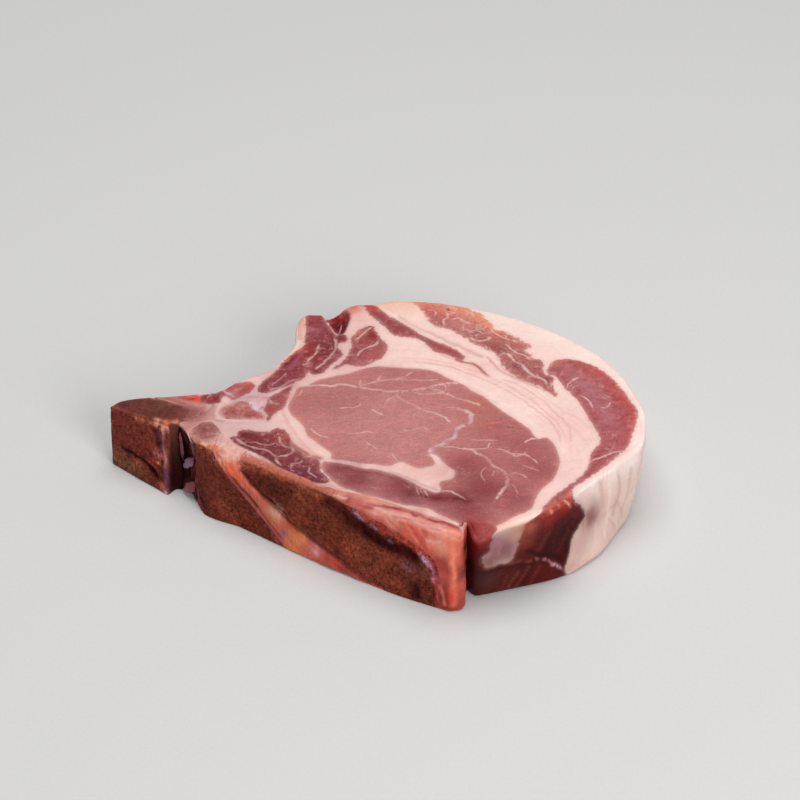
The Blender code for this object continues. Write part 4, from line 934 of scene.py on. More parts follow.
def vein_fields(spots):
    """The seams round each spot: how far it is to the left of the nearest one, that one's
    half width, and how plain it shows, which fades towards its ends and away from it."""
    side = np.full(len(spots), VEIN_REACH)
    near = np.full(len(spots), VEIN_REACH)
    slim = np.zeros(len(spots))
    show = np.zeros(len(spots))
    for width, plainness, *points in VEINS:
        line = smooth_line(points, 0.5)
        far, left = nearest(line, spots, VEIN_REACH)
        closer = far < near
        ends = np.minimum(np.linalg.norm(spots - line[0], axis=1),
                          np.linalg.norm(spots - line[-1], axis=1))
        strength = plainness * ease(ends, 0.3, 1.6) * (1 - ease(far, 0.8, 1.8))
        side = np.where(closer, left, side)
        slim = np.where(closer, width * (0.45 + 0.55 * ease(ends, 0.2, 1.6)), slim)
        show = np.where(closer, strength, show)
        near = np.minimum(near, far)
    return side, slim, show


def flesh_fields(plan, down, walk, below, height):
    """The tissue at each point: lean or fat, its colours, its marbling, its seams. Then the
    spots that the pattern is read at, the depth in the eye, and the share of the notch.

    plan is the place on the cut face, down the share of the way down the side, walk the
    distance round the side from the groove, below the depth under the top face."""
    drift = np.column_stack((plan, down * THICKNESS))
    sway = np.column_stack((cloud(drift, 13.0, 3), cloud(drift, 13.0, 4)))
    spots = plan + sway * (SWAY * down)[:, None]
    rough = ragged(spots)
    eye = depth_in(EYE, spots, EYE_REACH)
    lean = np.minimum(eye, -depth_in(INNER_SEAM, spots))
    color = plain((194, 134, 129), spots)
    fray = np.full(len(spots), 0.20)
    marbling = np.full(len(spots), 0.30)
    for _name, tint, frayed, marbled, points in MUSCLES:
        depth = depth_in(points, spots)
        share = ease(depth - lean, -0.5, 0.5)
        color = mixed(color, shade(*tint), share)
        fray = mixed(fray, frayed, share)
        marbling = mixed(marbling, marbled, share)
        lean = np.maximum(lean, depth)
    color = stroked(washed(color, rough, LEAN_WASHES), rough, LEAN_STROKES)
    fat = painted((246, 212, 203), rough, FAT_WASHES, FAT_STROKES)
    in_notch = depth_in(NOTCH, spots)
    notch = ease(in_notch, -0.4, 1.2)
    lean = np.maximum(lean, in_notch)
    color = mixed(color, painted((112, 34, 40), rough, NOTCH_WASHES, ()), notch)
    vein_side, vein_width, vein_plain = vein_fields(rough)

    # The front of the side, as distance from the groove and height
    spread = ragged(np.column_stack((walk, height)), 0.45)
    front = ease(walk, -3.0, -1.0) * (1 - ease(walk, 78.0, 90.0)) * ease(below, 0.2, 1.6)
    red = painted((90, 26, 22), spread, FRONT_LEAN_WASHES_WITH_SHADE, FRONT_LEAN_STROKES_WITH_GLINTS)
    cream = painted((228, 198, 187), spread, FRONT_FAT_WASHES, FRONT_FAT_STROKES_WITH_HIGHLIGHTS)
    lean = mixed(lean, depth_in(FRONT_RED, spread), front)
    color = mixed(color, red, front)
    fat = mixed(fat, cream, front)

    # The back wall of the canal, as distance round it and height: dark red flesh, darkened as
    # painted shade deep in the slot, with its marks over it
    reach = CANAL_START + np.linalg.norm(plan - CANAL_CORNER, axis=1)
    wall = ragged(np.column_stack((reach, height)), 0.4)
    canal = ease(-plan[:, 0], 57.0, 58.0) * (1 - ease(plan[:, 1], 9.0, 10.0)) * ease(below, 0.3, 1.3)
    fields = dict(
        lean=mixed(lean, -4.0, canal), fray=mixed(fray, 0.3, front), lean_colour=color,
        fat_colour=mixed(fat, painted((72, 26, 26), wall, (), CANAL_SHADE_AND_MARKS), canal),
        marbling=marbling * (1 - front), vein_side=vein_side, vein_width=vein_width,
        vein_plain=vein_plain * (1 - ease(below, 0.6, 1.6)),
        side=ease(below, 1.0, 3.0) * (1 - front))
    return fields, spots, eye, notch


def set_fields(mesh, **fields):
    """Store each array on the mesh's points: three or four numbers as a colour, one as it is."""
    for name, values in fields.items():
        values = np.asarray(values, np.float32)
        if values.ndim == 2:
            layer = mesh.attributes.new(name, "FLOAT_COLOR", "POINT")
            rows = np.ones((len(values), 4), np.float32)
            rows[:, :values.shape[1]] = values
            layer.data.foreach_set("color", rows.ravel())
        else:
            layer = mesh.attributes.new(name, "FLOAT", "POINT")
            layer.data.foreach_set("value", values)


TOP_BUMPS = ((0.22, 6.0, 11), (0.12, 2.2, 12), (0.05, 1.1, 13))
SIDE_BUMPS = ((0.40, 8.0, 14), (0.15, 2.6, 15))
LEAN_RISE = 0.16
BORDER_DIP = 0.05
VEIN_RISE = 0.10
SIDE_RISE = 0.20
NOTCH_DEPTH = 2.6
DARK_MUSCLE_DEPTH = 0.6
BED_DEPTH = 1.9


def bumps(points, layers):
    """Layers of noise added up: the height, the size and the seed of each."""
    return sum(height * cloud(points, size, seed) for height, size, seed in layers)


def flesh_body():
    """The slab with its relief: lean swells a little, muscle borders and the notch sink, seams rise,
    bones bed in.
    """
    rows = flesh_outline(COLUMNS)
    points, plans, downs = slab(rows, AXIS, TOP_RINGS, SIDE_RINGS, FOOT_RINGS)
    shape = points.shape[:2]
    flat = points.reshape(-1, 3)
    plan = plans.reshape(-1, 2)
    around = run_of(rows)
    groove = np.linalg.norm(rows[:, :2] - GROOVE, axis=1).argmin()
    walk = np.tile(around - around[groove], (shape[0], 1))
    side = np.zeros(shape)
    side[TOP_RINGS:-FOOT_RINGS] = 1.0
    side = side.ravel()
    walk = np.where(side > 0, walk.ravel(), OFF_THE_SIDE)
    below = top_height(plan[:, 0], plan[:, 1]) - flat[:, 2]
    fields, spots, eye, notch = flesh_fields(plan, downs.ravel(), walk, below, flat[:, 2].copy())
    lean = fields["lean"]
    bed = np.maximum(depth_in(VERTEBRA_TOP, plan), depth_in(PROCESS_TOP, plan))
    lift = LEAN_RISE * ease(lean, 0.0, 3.0) - BORDER_DIP * np.exp(-(lean / 0.8) ** 2)
    lift += bumps(flat, TOP_BUMPS)
    lift += VEIN_RISE * np.exp(-(fields["vein_side"] / 0.6) ** 2) * fields["vein_plain"]
    lift -= NOTCH_DEPTH * notch
    lift -= DARK_MUSCLE_DEPTH * ease(depth_in(MUSCLES[-1][4], spots), 0.0, 1.5)
    lift -= BED_DEPTH * ease(bed, -0.1, 1.7)
    flat[:, 2] += lift * (1 - ease(below, 0.0, 1.4))
    swell = bumps(flat, SIDE_BUMPS)
    swell += SIDE_RISE * (ease(lean, 0.0, 2.0) - np.exp(-(lean / 0.7) ** 2))
    swell *= side * ease(below, 0.6, 2.5) * ease(flat[:, 2], 0.6, 2.5)
    flat[:, :2] -= np.tile(inward(rows[:, :2]), (shape[0], 1)) * swell[:, None]
    made = body("flesh", flat, *slab_faces(*shape))
    across = np.clip(-eye, -EYE_REACH, EYE_REACH)
    turn = np.arctan2(spots[:, 1], spots[:, 0] - 10.0)
    set_fields(made.data, band=np.column_stack((across, np.cos(turn), np.sin(turn))), **fields)
    return made


class Recipe:
    """A material under way, with a short word for each kind of step."""

    def __init__(self, name):
        self.material = bpy.data.materials.new(name)
        self.material.use_nodes = True
        self.tree = self.material.node_tree
        self.skin = self.tree.nodes["Principled BSDF"]
        self.place = self.scaled(self.add("TexCoord").outputs["Object"], 1.0 / MM)

    def add(self, kind, inputs=None, **settings):
        """One node."""
        return node(self.tree, kind, inputs, **settings)

    def math(self, operation, *values):
        """An arithmetic step on numbers or sockets."""
        return self.add("Math", dict(enumerate(values)), operation=operation).outputs[0]

    def times(self, first, second):
        """A product."""
        return self.math("MULTIPLY", first, second)

    def times_plus(self, first, second, extra):
        """A product with something added."""
        return self.math("MULTIPLY_ADD", first, second, extra)

    def ramp(self, value, low, high, start=0.0, end=1.0):
        """A value eased from start to end between low and high."""
        inputs = {"Value": value, "From Min": low, "From Max": high, "To Min": start, "To Max": end}
        return self.add("MapRange", inputs, interpolation_type="SMOOTHSTEP").outputs[0]

    def blend(self, share, first, second):
        """The first colour turned into the second by a share."""
        inputs = {0: share, 6: first, 7: second}
        return self.add("Mix", inputs, data_type="RGBA", blend_type="MIX").outputs[2]

    def noise(self, scale, detail=2.0, rough=0.5, warp=0.0, place=None):
        """A noise from about -1 to 1, with its scale to the millimetre."""
        inputs = {"Vector": place or self.place, "Scale": scale, "Detail": detail,
                  "Roughness": rough, "Distortion": warp}
        return self.times_plus(self.add("TexNoise", inputs).outputs["Fac"], 2.0, -1.0)

    def cells(self, scale, low, high, start, end):
        """Cells to the millimetre: a value eased from their walls to their middles."""
        inputs = {"Vector": self.place, "Scale": scale}
        made = self.add("TexVoronoi", inputs, feature="DISTANCE_TO_EDGE")
        return self.ramp(made.outputs["Distance"], low, high, start, end)

    def drawn(self, turn, stretch):
        """The place turned and drawn out, for a grain that runs one way."""
        inputs = {"Vector": self.place, "Rotation": turn, "Scale": stretch}
        return self.add("Mapping", inputs).outputs[0]

    def field(self, name, output="Fac"):
        """One of the mesh's own fields."""
        return self.add("Attribute", attribute_name=name).outputs[output]

    def scaled(self, color, factor):
        """A colour or a place times a number."""
        return self.add("VectorMath", {0: color, 3: factor}, operation="SCALE").outputs[0]

    def filtered(self, color, through):
        """A colour seen through another one."""
        return self.add("VectorMath", {0: color, 1: through}, operation="MULTIPLY").outputs[0]

    def wet(self, color, roughness, shine):
        """The surface itself: its colour, how rough it is and how much it shines."""
        self.tree.links.new(color, self.skin.inputs["Base Color"])
        self.tree.links.new(roughness, self.skin.inputs["Roughness"])
        self.skin.inputs["Specular IOR Level"].default_value = shine

    def grained(self, height, strength, depth):
        """Fine relief of a depth in metres."""
        inputs = {"Height": height, "Strength": strength, "Distance": depth}
        self.tree.links.new(self.add("Bump", inputs).outputs[0], self.skin.inputs["Normal"])

    def soft(self, weight, depth, spread):
        """Light that sinks in and spreads before it comes out."""
        self.skin.inputs["Subsurface Weight"].default_value = weight
        self.skin.inputs["Subsurface Radius"].default_value = spread
        self.skin.inputs["Subsurface Scale"].default_value = depth


def flesh_material():
    """Lean and fat by the fields, with ragged borders, fine marbling, seams and a wet sheen."""
    mix = Recipe("raw_pork")
    coarse = mix.noise(0.55, 3.0, 0.6)
    fine = mix.noise(1.7, 3.0, 0.6)
    grain = mix.noise(3.4, 2.0, 0.7)
    wobble = mix.times(mix.times_plus(fine, 0.6, coarse), mix.field("fray"))
    depth = mix.times_plus(wobble, 2.2, mix.field("lean"))
    lean = mix.times_plus(mix.ramp(depth, -0.34, 0.34), 0.70, mix.ramp(depth, -1.6, -0.2, 0.0, 0.14))
    lean = mix.math("ADD", lean, mix.ramp(depth, 0.2, 1.5, 0.0, 0.16))

    # Fine marbling: thin threads where a noise crosses its middle, broken up by another
    marbled = mix.field("marbling")
    thread = mix.math("ABSOLUTE", mix.noise(0.30, 4.0, 0.62, 0.6))
    thread = mix.ramp(thread, 0.0, 0.05, 1.0, 0.0)
    thread = mix.times(thread, mix.ramp(mix.noise(0.16), 0.0, 0.45))
    thread = mix.times(thread, mix.ramp(marbled, 0.0, 0.6, 0.0, 0.6))
    clump = mix.ramp(mix.noise(0.34, 5.0, 0.62, 0.9), 0.10, 0.42)
    clump = mix.times(clump, mix.ramp(marbled, 0.5, 1.0, 0.0, 0.62))
    side = mix.times_plus(fine, 0.20, mix.field("vein_side"))
    side = mix.math("ABSOLUTE", mix.times_plus(grain, 0.10, side))
    width = mix.times(mix.field("vein_width"), mix.times_plus(mix.noise(0.8), 0.7, 1.0))
    vein = mix.math("DIVIDE", side, mix.math("MAXIMUM", width, 0.02))
    vein = mix.times(mix.ramp(vein, 0.2, 2.1, 1.0, 0.0), mix.field("vein_plain"))
    vein = mix.times(vein, mix.ramp(coarse, -0.4, 0.2, 0.5, 0.96))
    white = mix.times(mix.math("MAXIMUM", clump, thread), 0.85)
    seams = mix.math("MAXIMUM", white, vein)

    # The lean: bundles of fibre, a mottle, pale and dark dapples
    mottle = mix.times_plus(coarse, 0.12, 1.0)
    mottle = mix.times_plus(grain, 0.24, mottle)
    mottle = mix.times_plus(fine, 0.20, mottle)
    fibre = mix.noise(0.9, 4.0, 0.7, 0.5, mix.drawn((0.0, 0.0, 0.6), (0.3, 1.3, 1.0)))
    mottle = mix.times_plus(fibre, 0.22, mottle)
    mottle = mix.times(mottle, mix.cells(0.85, 0.0, 0.30, 0.93, 1.02))
    muscle = mix.scaled(mix.field("lean_colour", "Color"), mottle)
    muscle = mix.filtered(muscle, (0.98, 0.90, 0.92))
    ruddy = mix.filtered(muscle, (1.26, 1.03, 0.96))
    muscle = mix.blend(mix.ramp(fibre, 0.05, 0.5), muscle, ruddy)
    dapple = mix.noise(0.36, 4.0, 0.6, 0.5)
    amount = mix.ramp(marbled, 0.20, 0.55)
    pale = mix.times(mix.ramp(dapple, 0.04, 0.5, 0.0, 0.5), amount)
    muscle = mix.blend(pale, muscle, (*shade(205, 142, 142), 1.0))
    deep = mix.times(mix.ramp(dapple, -0.5, -0.04, 0.62, 0.0), amount)
    muscle = mix.blend(deep, muscle, (*shade(112, 36, 38), 1.0))

    # The fat: faint pink streaks that run with the band, soft lobules, and a mottle
    band = mix.add("SeparateXYZ", {0: mix.field("band", "Vector")}).outputs
    streak_at = mix.add("CombineXYZ", {
        0: mix.times(band[0], 0.85), 1: mix.times(band[1], 1.6), 2: mix.times(band[2], 1.6)})
    streak = mix.noise(1.0, 4.0, 0.6, 0.4, streak_at.outputs[0])
    streak = mix.ramp(streak, 0.0, 0.5, 0.0, 0.6)
    within = mix.times(mix.ramp(band[0], 2.0, 5.0), mix.ramp(band[0], 18.0, 24.0, 1.0, 0.0))
    streak = mix.times(streak, within)
    streak = mix.times(streak, mix.ramp(mix.field("side"), 0.0, 0.5, 1.0, 0.0))
    cream = mix.times_plus(coarse, 0.05, 1.0)
    cream = mix.times_plus(grain, 0.05, cream)
    cream = mix.times(cream, mix.cells(0.55, 0.0, 0.25, 0.965, 1.0))
    fat = mix.scaled(mix.field("fat_colour", "Color"), cream)
    fat = mix.blend(streak, fat, (*shade(230, 178, 170), 1.0))

    share = mix.times(lean, mix.math("SUBTRACT", 1.0, seams))
    damp = mix.ramp(mix.noise(0.10, 3.0), -0.4, 0.5, 0.24, 0.38)
    mix.wet(mix.blend(share, fat, muscle), damp, 0.05)
    mix.soft(0.10, 0.0016, (1.0, 0.35, 0.22))
    mix.grained(mix.times_plus(share, -0.7, mix.times_plus(fine, 0.5, grain)), 0.30, 0.0002)
    return mix.material


flesh = flesh_body()
flesh.data.materials.append(flesh_material())
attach(flesh, "root")
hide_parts("meat", "fat_cap")

# ------------------------------------------------------------------ the half vertebra
# The saw split the backbone lengthwise. This is the half of one vertebra's body that stayed
# on the chop: open, red-brown spongy bone, with a rim of membrane by the spinal canal.

# The line in its middle, the counts of its mesh, and its hidden side as in the stretches
VERTEBRA_AXIS = ((-84.0, 8.4), (-75.0, 7.4), (-66.0, 5.4))
VERTEBRA_COLUMNS = 200
VERTEBRA_RINGS = (26, 56, 12)
INNER_LINE = ((-66.1, -1.0, 0, 0), (-62.6, -0.6, 0, 0), (-58.6, 0.8, 0, 0), (-57.4, 4.4, 0, 0),
              (-60.0, 8.0, 0, 0), (-65.0, 10.4, 0, 0), (-70.0, 12.4, 0, 0), (-75.0, 13.0, 0, 0))

# Marks on its top face by place, and on its sawn face by distance along it and height. The pale
# orange spots on the top face's front edge are painted highlights. On the sawn face the bright
# spots along the top edge and the palest strokes at the top of the rim are painted highlights, and
# the near-black marks in the crack, in the pocket and at the canal's edge, at 24.6, are painted shade.
VERTEBRA_TOP_WASHES_WITH_HIGHLIGHTS = (
    (-85.4, 10.5, 2.6, 0.6, 98, 50, 52), (-73, 9.4, 3, 0.6, 112, 70, 54), (-80, 9, 4, 0.3, 122, 66, 56),
    (-64, 4, 4, 0.5, 128, 66, 60), (-61.6, 4.4, 3.2, 0.85, 150, 90, 84), (-66, 3, 3, 0.5, 128, 68, 62),
    (-70.6, -0.8, 1.4, 0.9, 222, 122, 82), (-73.8, 0.6, 1.2, 0.9, 236, 166, 136),
    (-81, 2.8, 0.9, 0.8, 212, 128, 92), (-78, 1, 0.9, 0.8, 212, 128, 92),
    (-70, 9.5, 1.4, 0.6, 150, 86, 62), (-67.4, -0.4, 1.4, 0.9, 210, 130, 110),
    (-88.6, 8.8, 1.2, 0.7, 150, 78, 58))
VERTEBRA_TOP_STROKES = (
    (0.8, 0.85, 150, 92, 86, (-88.6, 11), (-86, 12.6), (-80, 13.6), (-74, 13.2)),
    (1, 0.8, 164, 110, 110, (-76, 13.4), (-72, 12), (-68, 10), (-63, 7.6), (-60.4, 5.4), (-59.8, 3.2),
     (-61, 1.6), (-64, 0.8)),
    (0.6, 0.6, 140, 74, 60, (-89.4, 8.4), (-86, 6.8), (-81, 4.2), (-78, 2.4), (-74.4, 0.6)))
VERTEBRA_FACE_WASHES_WITH_SHADE_AND_HIGHLIGHTS = (
    (1, 14, 2.2, 0.7, 118, 56, 47), (1, 24, 2, 0.6, 126, 62, 52), (10.5, 24.6, 0.8, 0.9, 215, 130, 95),
    (13, 24.8, 0.9, 0.9, 215, 130, 95), (15.2, 24.8, 0.9, 0.9, 215, 130, 95),
    (18, 25.4, 1.5, 0.95, 240, 160, 130), (21.2, 25.6, 1.2, 0.9, 225, 120, 80),
    (15, 8.6, 2.6, 0.8, 130, 50, 45), (3.4, 3.6, 4.2, 0.85, 108, 72, 50), (8.6, 3, 4, 0.8, 104, 68, 48),
    (12, 11.4, 3, 0.6, 74, 30, 28), (9.5, 6.6, 1.2, 0.6, 150, 78, 56), (14, 2, 3.4, 0.8, 95, 45, 35),
    (20, 1.6, 1.6, 0.9, 170, 85, 80), (21.5, 0.8, 0.8, 0.9, 225, 170, 160),
    (22, 16.4, 1.5, 0.9, 110, 55, 50), (17.8, 13.4, 1.4, 0.8, 150, 85, 90),
    (19.6, 13.5, 1.1, 0.85, 170, 90, 90), (18.6, 10.2, 0.7, 0.9, 205, 110, 60),
    (20.6, 3, 0.8, 0.9, 200, 100, 60), (20.4, 11.4, 0.7, 0.9, 45, 20, 30),
    (19.8, 4.6, 0.8, 0.9, 45, 20, 30), (12, 8.2, 1.1, 0.9, 36, 10, 10), (12, 17, 6, 0.3, 118, 56, 40),
    (6, 14, 4, 0.3, 96, 42, 34), (19, 19, 1.6, 0.6, 100, 60, 70), (24.6, 14, 1.6, 0.95, 30, 6, 5),
    (24.6, 6, 1.8, 0.9, 50, 15, 12), (24.6, 22, 1.6, 0.95, 34, 8, 6))
VERTEBRA_FACE_STROKES_WITH_SHADE_AND_HIGHLIGHTS = (
    (1, 0.8, 134, 68, 52, (2, 25.6), (8, 25.4), (16, 25)),
    (0.8, 0.9, 58, 28, 32, (17.2, 22.5), (17.6, 20), (18.2, 16.6)),
    (0.7, 0.8, 100, 60, 70, (18.8, 24), (19.2, 20), (19.6, 16)),
    (0.6, 0.9, 225, 160, 150, (20.6, 25), (20.5, 22.6)),
    (0.6, 0.9, 150, 95, 100, (20.5, 22.6), (20.4, 19), (21, 16), (21.4, 13), (21.7, 10)),
    (0.6, 0.9, 90, 60, 85, (21.7, 10), (21.9, 7), (22, 4), (22.2, 0.6)),
    (0.35, 0.9, 235, 190, 180, (22.4, 25), (22.8, 22.8)),
    (1, 0.95, 30, 8, 8, (4.6, 10), (6.6, 9.6), (8, 9.8), (9.5, 9), (11, 8.6), (12.8, 7.8), (14.5, 6.4),
     (16.5, 5.6), (17.6, 4.6)),
    (0.4, 0.8, 40, 14, 12, (5.5, 7.4), (7, 7.2)))
SPONGE_GAP = 1.25


def sponge(points, seed):
    """The relief of open bone, in mm: low swells, with pits where fine noise runs low."""
    swell = bumps(points, ((0.22, 5.0, seed), (0.12, 2.1, seed + 1)))
    pits = bumps(points, ((1.0, SPONGE_GAP, seed + 2), (0.6, 0.7, seed + 3)))
    return swell - 0.26 * ease(-pits, 0.05, 0.8) + 0.06 * pits


SHADE_SHARE = 0.70
BRIGHTEST = 0.90


def in_shade(colors):
    """The sawn side looks away from the light, so its colours are lifted: painted light that makes up for
    its shade.
    """
    lifted = np.maximum((colors - 0.004) / SHADE_SHARE, 0.002)
    return lifted * np.minimum(1.0, BRIGHTEST / lifted.max(axis=1))[:, None]


def bone_material(name):
    """Spongy bone: the piece's tint, broken by dark cells, orange grains and a damp sheen."""
    mix = Recipe(name)
    spongy = mix.field("spongy")
    coarse = mix.noise(0.30, 3.0, 0.6)
    fine = mix.noise(0.85, 4.0, 0.72)
    grit = mix.noise(2.0, 2.0, 0.6)
    light = mix.times_plus(fine, 1.0, mix.times(coarse, 0.60))
    light = mix.times_plus(grit, 0.60, light)
    light = mix.times_plus(mix.cells(0.95, 0.02, 0.30, 0.0, 1.0), -0.18, mix.math("ADD", light, 0.10))
    light = mix.times_plus(light, mix.times(spongy, 1.2), 1.0)
    tint = mix.scaled(mix.field("tint", "Color"), mix.math("MAXIMUM", light, 0.2))
    grains = mix.times(mix.ramp(grit, 0.06, 0.36), mix.ramp(fine, -0.1, 0.3))
    grains = mix.times(grains, mix.ramp(coarse, -0.3, 0.3, 0.3, 1.0))
    grains = mix.times(grains, mix.times(spongy, 0.56))
    tint = mix.blend(grains, tint, mix.filtered(tint, (2.05, 1.75, 1.5)))
    deep = mix.times(mix.ramp(fine, -0.40, -0.08, 1.0, 0.0), spongy)
    tint = mix.blend(mix.times(deep, 0.75), tint, mix.filtered(tint, (0.34, 0.22, 0.20)))
    ruddy = mix.times(mix.ramp(coarse, -0.5, -0.05, 0.7, 0.0), spongy)
    tint = mix.blend(ruddy, tint, mix.filtered(tint, (1.0, 0.72, 0.80)))
    mix.wet(tint, mix.ramp(coarse, -0.4, 0.4, 0.34, 0.58), 0.04)
    mix.grained(mix.times_plus(grit, 0.5, fine), 0.55, 0.0004)
    return mix.material


RIM_AT = 20.9
RIM_HEIGHT = 0.5
CRACK_AT = (12.5, 7.2)
CRACK_DEPTH = 1.3
POCKET_AT = (18.4, 18.6)
POCKET_DEPTH = 1.1


def vertebra_body():
    """The half vertebra: the saw's plane on its front, its own smooth bone at the back."""
    front = stretch("sawn vertebra")
    left_wall = stretch("canal, left wall")
    canal = stretch("canal, back wall")
    canal = canal[canal[:, 0] < -66.5]
    inner = edged(INNER_LINE, 0.5, 0.5, 0.0)
    back = stretch("back of the vertebra")
    back = back[back[:, 0] < -77.0]
    rows = np.vstack((front[:-1], left_wall[:-1], canal, inner, back[:-1]))
    rows = even_rows(rows, VERTEBRA_COLUMNS)
    points, plans, _downs = slab(rows, VERTEBRA_AXIS, *VERTEBRA_RINGS)
    shape = points.shape[:2]
    flat = points.reshape(-1, 3)
    plan = plans.reshape(-1, 2)
    along = np.tile(run_of(rows), (shape[0], 1)).ravel()
    below = top_height(plan[:, 0], plan[:, 1]) - flat[:, 2]
    on_side = np.zeros(shape)
    on_side[VERTEBRA_RINGS[0]:-VERTEBRA_RINGS[2]] = 1.0
    on_side = on_side.ravel()
    under_edge = ease(below, 0.2, 1.2)
    sawn = on_side * (1 - ease(along, 22.0, 23.0)) * under_edge
    relief = sponge(flat, 31)
    height = flat[:, 2]
    rim = np.exp(-((along - RIM_AT) / 0.8) ** 2) * sawn
    off_crack = (along - CRACK_AT[0] - 0.6 * (8 - height)) / 3.4
    over_crack = (height - CRACK_AT[1] - 0.5 * cloud(flat, 2.0, 36)) / 1.3
    crack = np.exp(-off_crack ** 2 - over_crack ** 2) * sawn
    pocket = np.exp(-((along - POCKET_AT[0]) / 1.1) ** 2 - ((height - POCKET_AT[1]) / 3.4) ** 2) * sawn
    push = 1.2 * relief * sawn + RIM_HEIGHT * rim - CRACK_DEPTH * crack - POCKET_DEPTH * pocket
    push += 0.15 * cloud(flat, 3.0, 37) * on_side * (1 - sawn) * under_edge
    push *= ease(height, 0.3, 1.4)
    flat[:, :2] -= np.tile(inward(rows[:, :2]), (shape[0], 1)) * push[:, None]
    up = (1 - ease(below, 0.0, 1.2)) * (1 - on_side * 0.5)
    flat[:, 2] += up * (0.30 * relief + 0.18 * cloud(flat, 4.0, 38) + 0.10)
    sunk = 1.3 * (1 - ease(depth_in(VERTEBRA_TOP, plan), -1.2, 0.1))
    flat[:, 2] -= sunk * np.clip(flat[:, 2] / THICKNESS, 0.0, 1.0)
    made = body("vertebral_body_bone", flat, *slab_faces(*shape))
    tops = painted((100, 52, 46), ragged(plan), VERTEBRA_TOP_WASHES_WITH_HIGHLIGHTS, VERTEBRA_TOP_STROKES)
    place = ragged(np.column_stack((along, flat[:, 2])))
    # The face's colours are lifted by in_shade: painted light against the shade it stands in.
    faces = in_shade(painted((98, 45, 37), place, VERTEBRA_FACE_WASHES_WITH_SHADE_AND_HIGHLIGHTS, VERTEBRA_FACE_STROKES_WITH_SHADE_AND_HIGHLIGHTS))
    # The rest of its side grows darker towards the foot: painted shade down in the canal.
    rest = mixed(plain((46, 15, 13), flat), shade(122, 68, 58), ease(flat[:, 2], 4.0, 26.0))
    share = ease(below, 0.2, 1.0)
    tint = mixed(tops, mixed(rest, faces, sawn), share)
    membrane = np.clip(rim * 1.2, 0.0, 1.0)
    spongy = (0.40 * (1 - share) + share * (0.25 + 0.75 * sawn)) * (1 - 0.85 * membrane)
    set_fields(made.data, tint=tint, spongy=spongy)
    return made


vertebra = vertebra_body()
vertebra.data.materials.append(bone_material("spongy_bone"))
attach(vertebra, "root")
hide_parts("vertebral_body")

# ------------------------------------------------------------------ the lamina
# The arch over the spinal canal, where the first spinous process begins. It stands on the
# left of the long sawn face, and its smooth head reaches back round the corner of the canal.

# The lines that part the lamina, the ligament, the process and the gristle: points of
# distance from the canal's corner and height
LIGAMENT_LOWER = ((40.0, -6.0), (35.0, 1.0), (31.4, 4.6), (27.4, 8.2), (22.6, 12.4), (17.0, 17.4),
                  (13.6, 20.8), (10.4, 25.0), (8.4, 28.4), (6.8, 36.0))
LIGAMENT_UPPER = ((84.0, -6.0), (74.0, 0.8), (68.0, 2.2), (63.0, 3.4), (58.0, 5.0), (53.0, 6.6),
                  (48.4, 8.2), (44.0, 10.0), (38.4, 11.8), (36.4, 13.8), (30.4, 16.8),
                  (26.0, 19.0), (22.0, 21.4), (18.8, 24.4), (18.4, 28.0), (19.6, 36.0))
CARTILAGE_LOWER = ((96.8, -6.0), (96.5, 0.0), (96.0, 4.0), (96.6, 9.0), (96.2, 14.0), (95.0, 18.0),
                   (91.5, 20.6), (86.0, 22.6), (80.0, 24.4), (73.0, 26.0), (67.0, 27.4),
                   (58.0, 28.6), (46.0, 36.0))

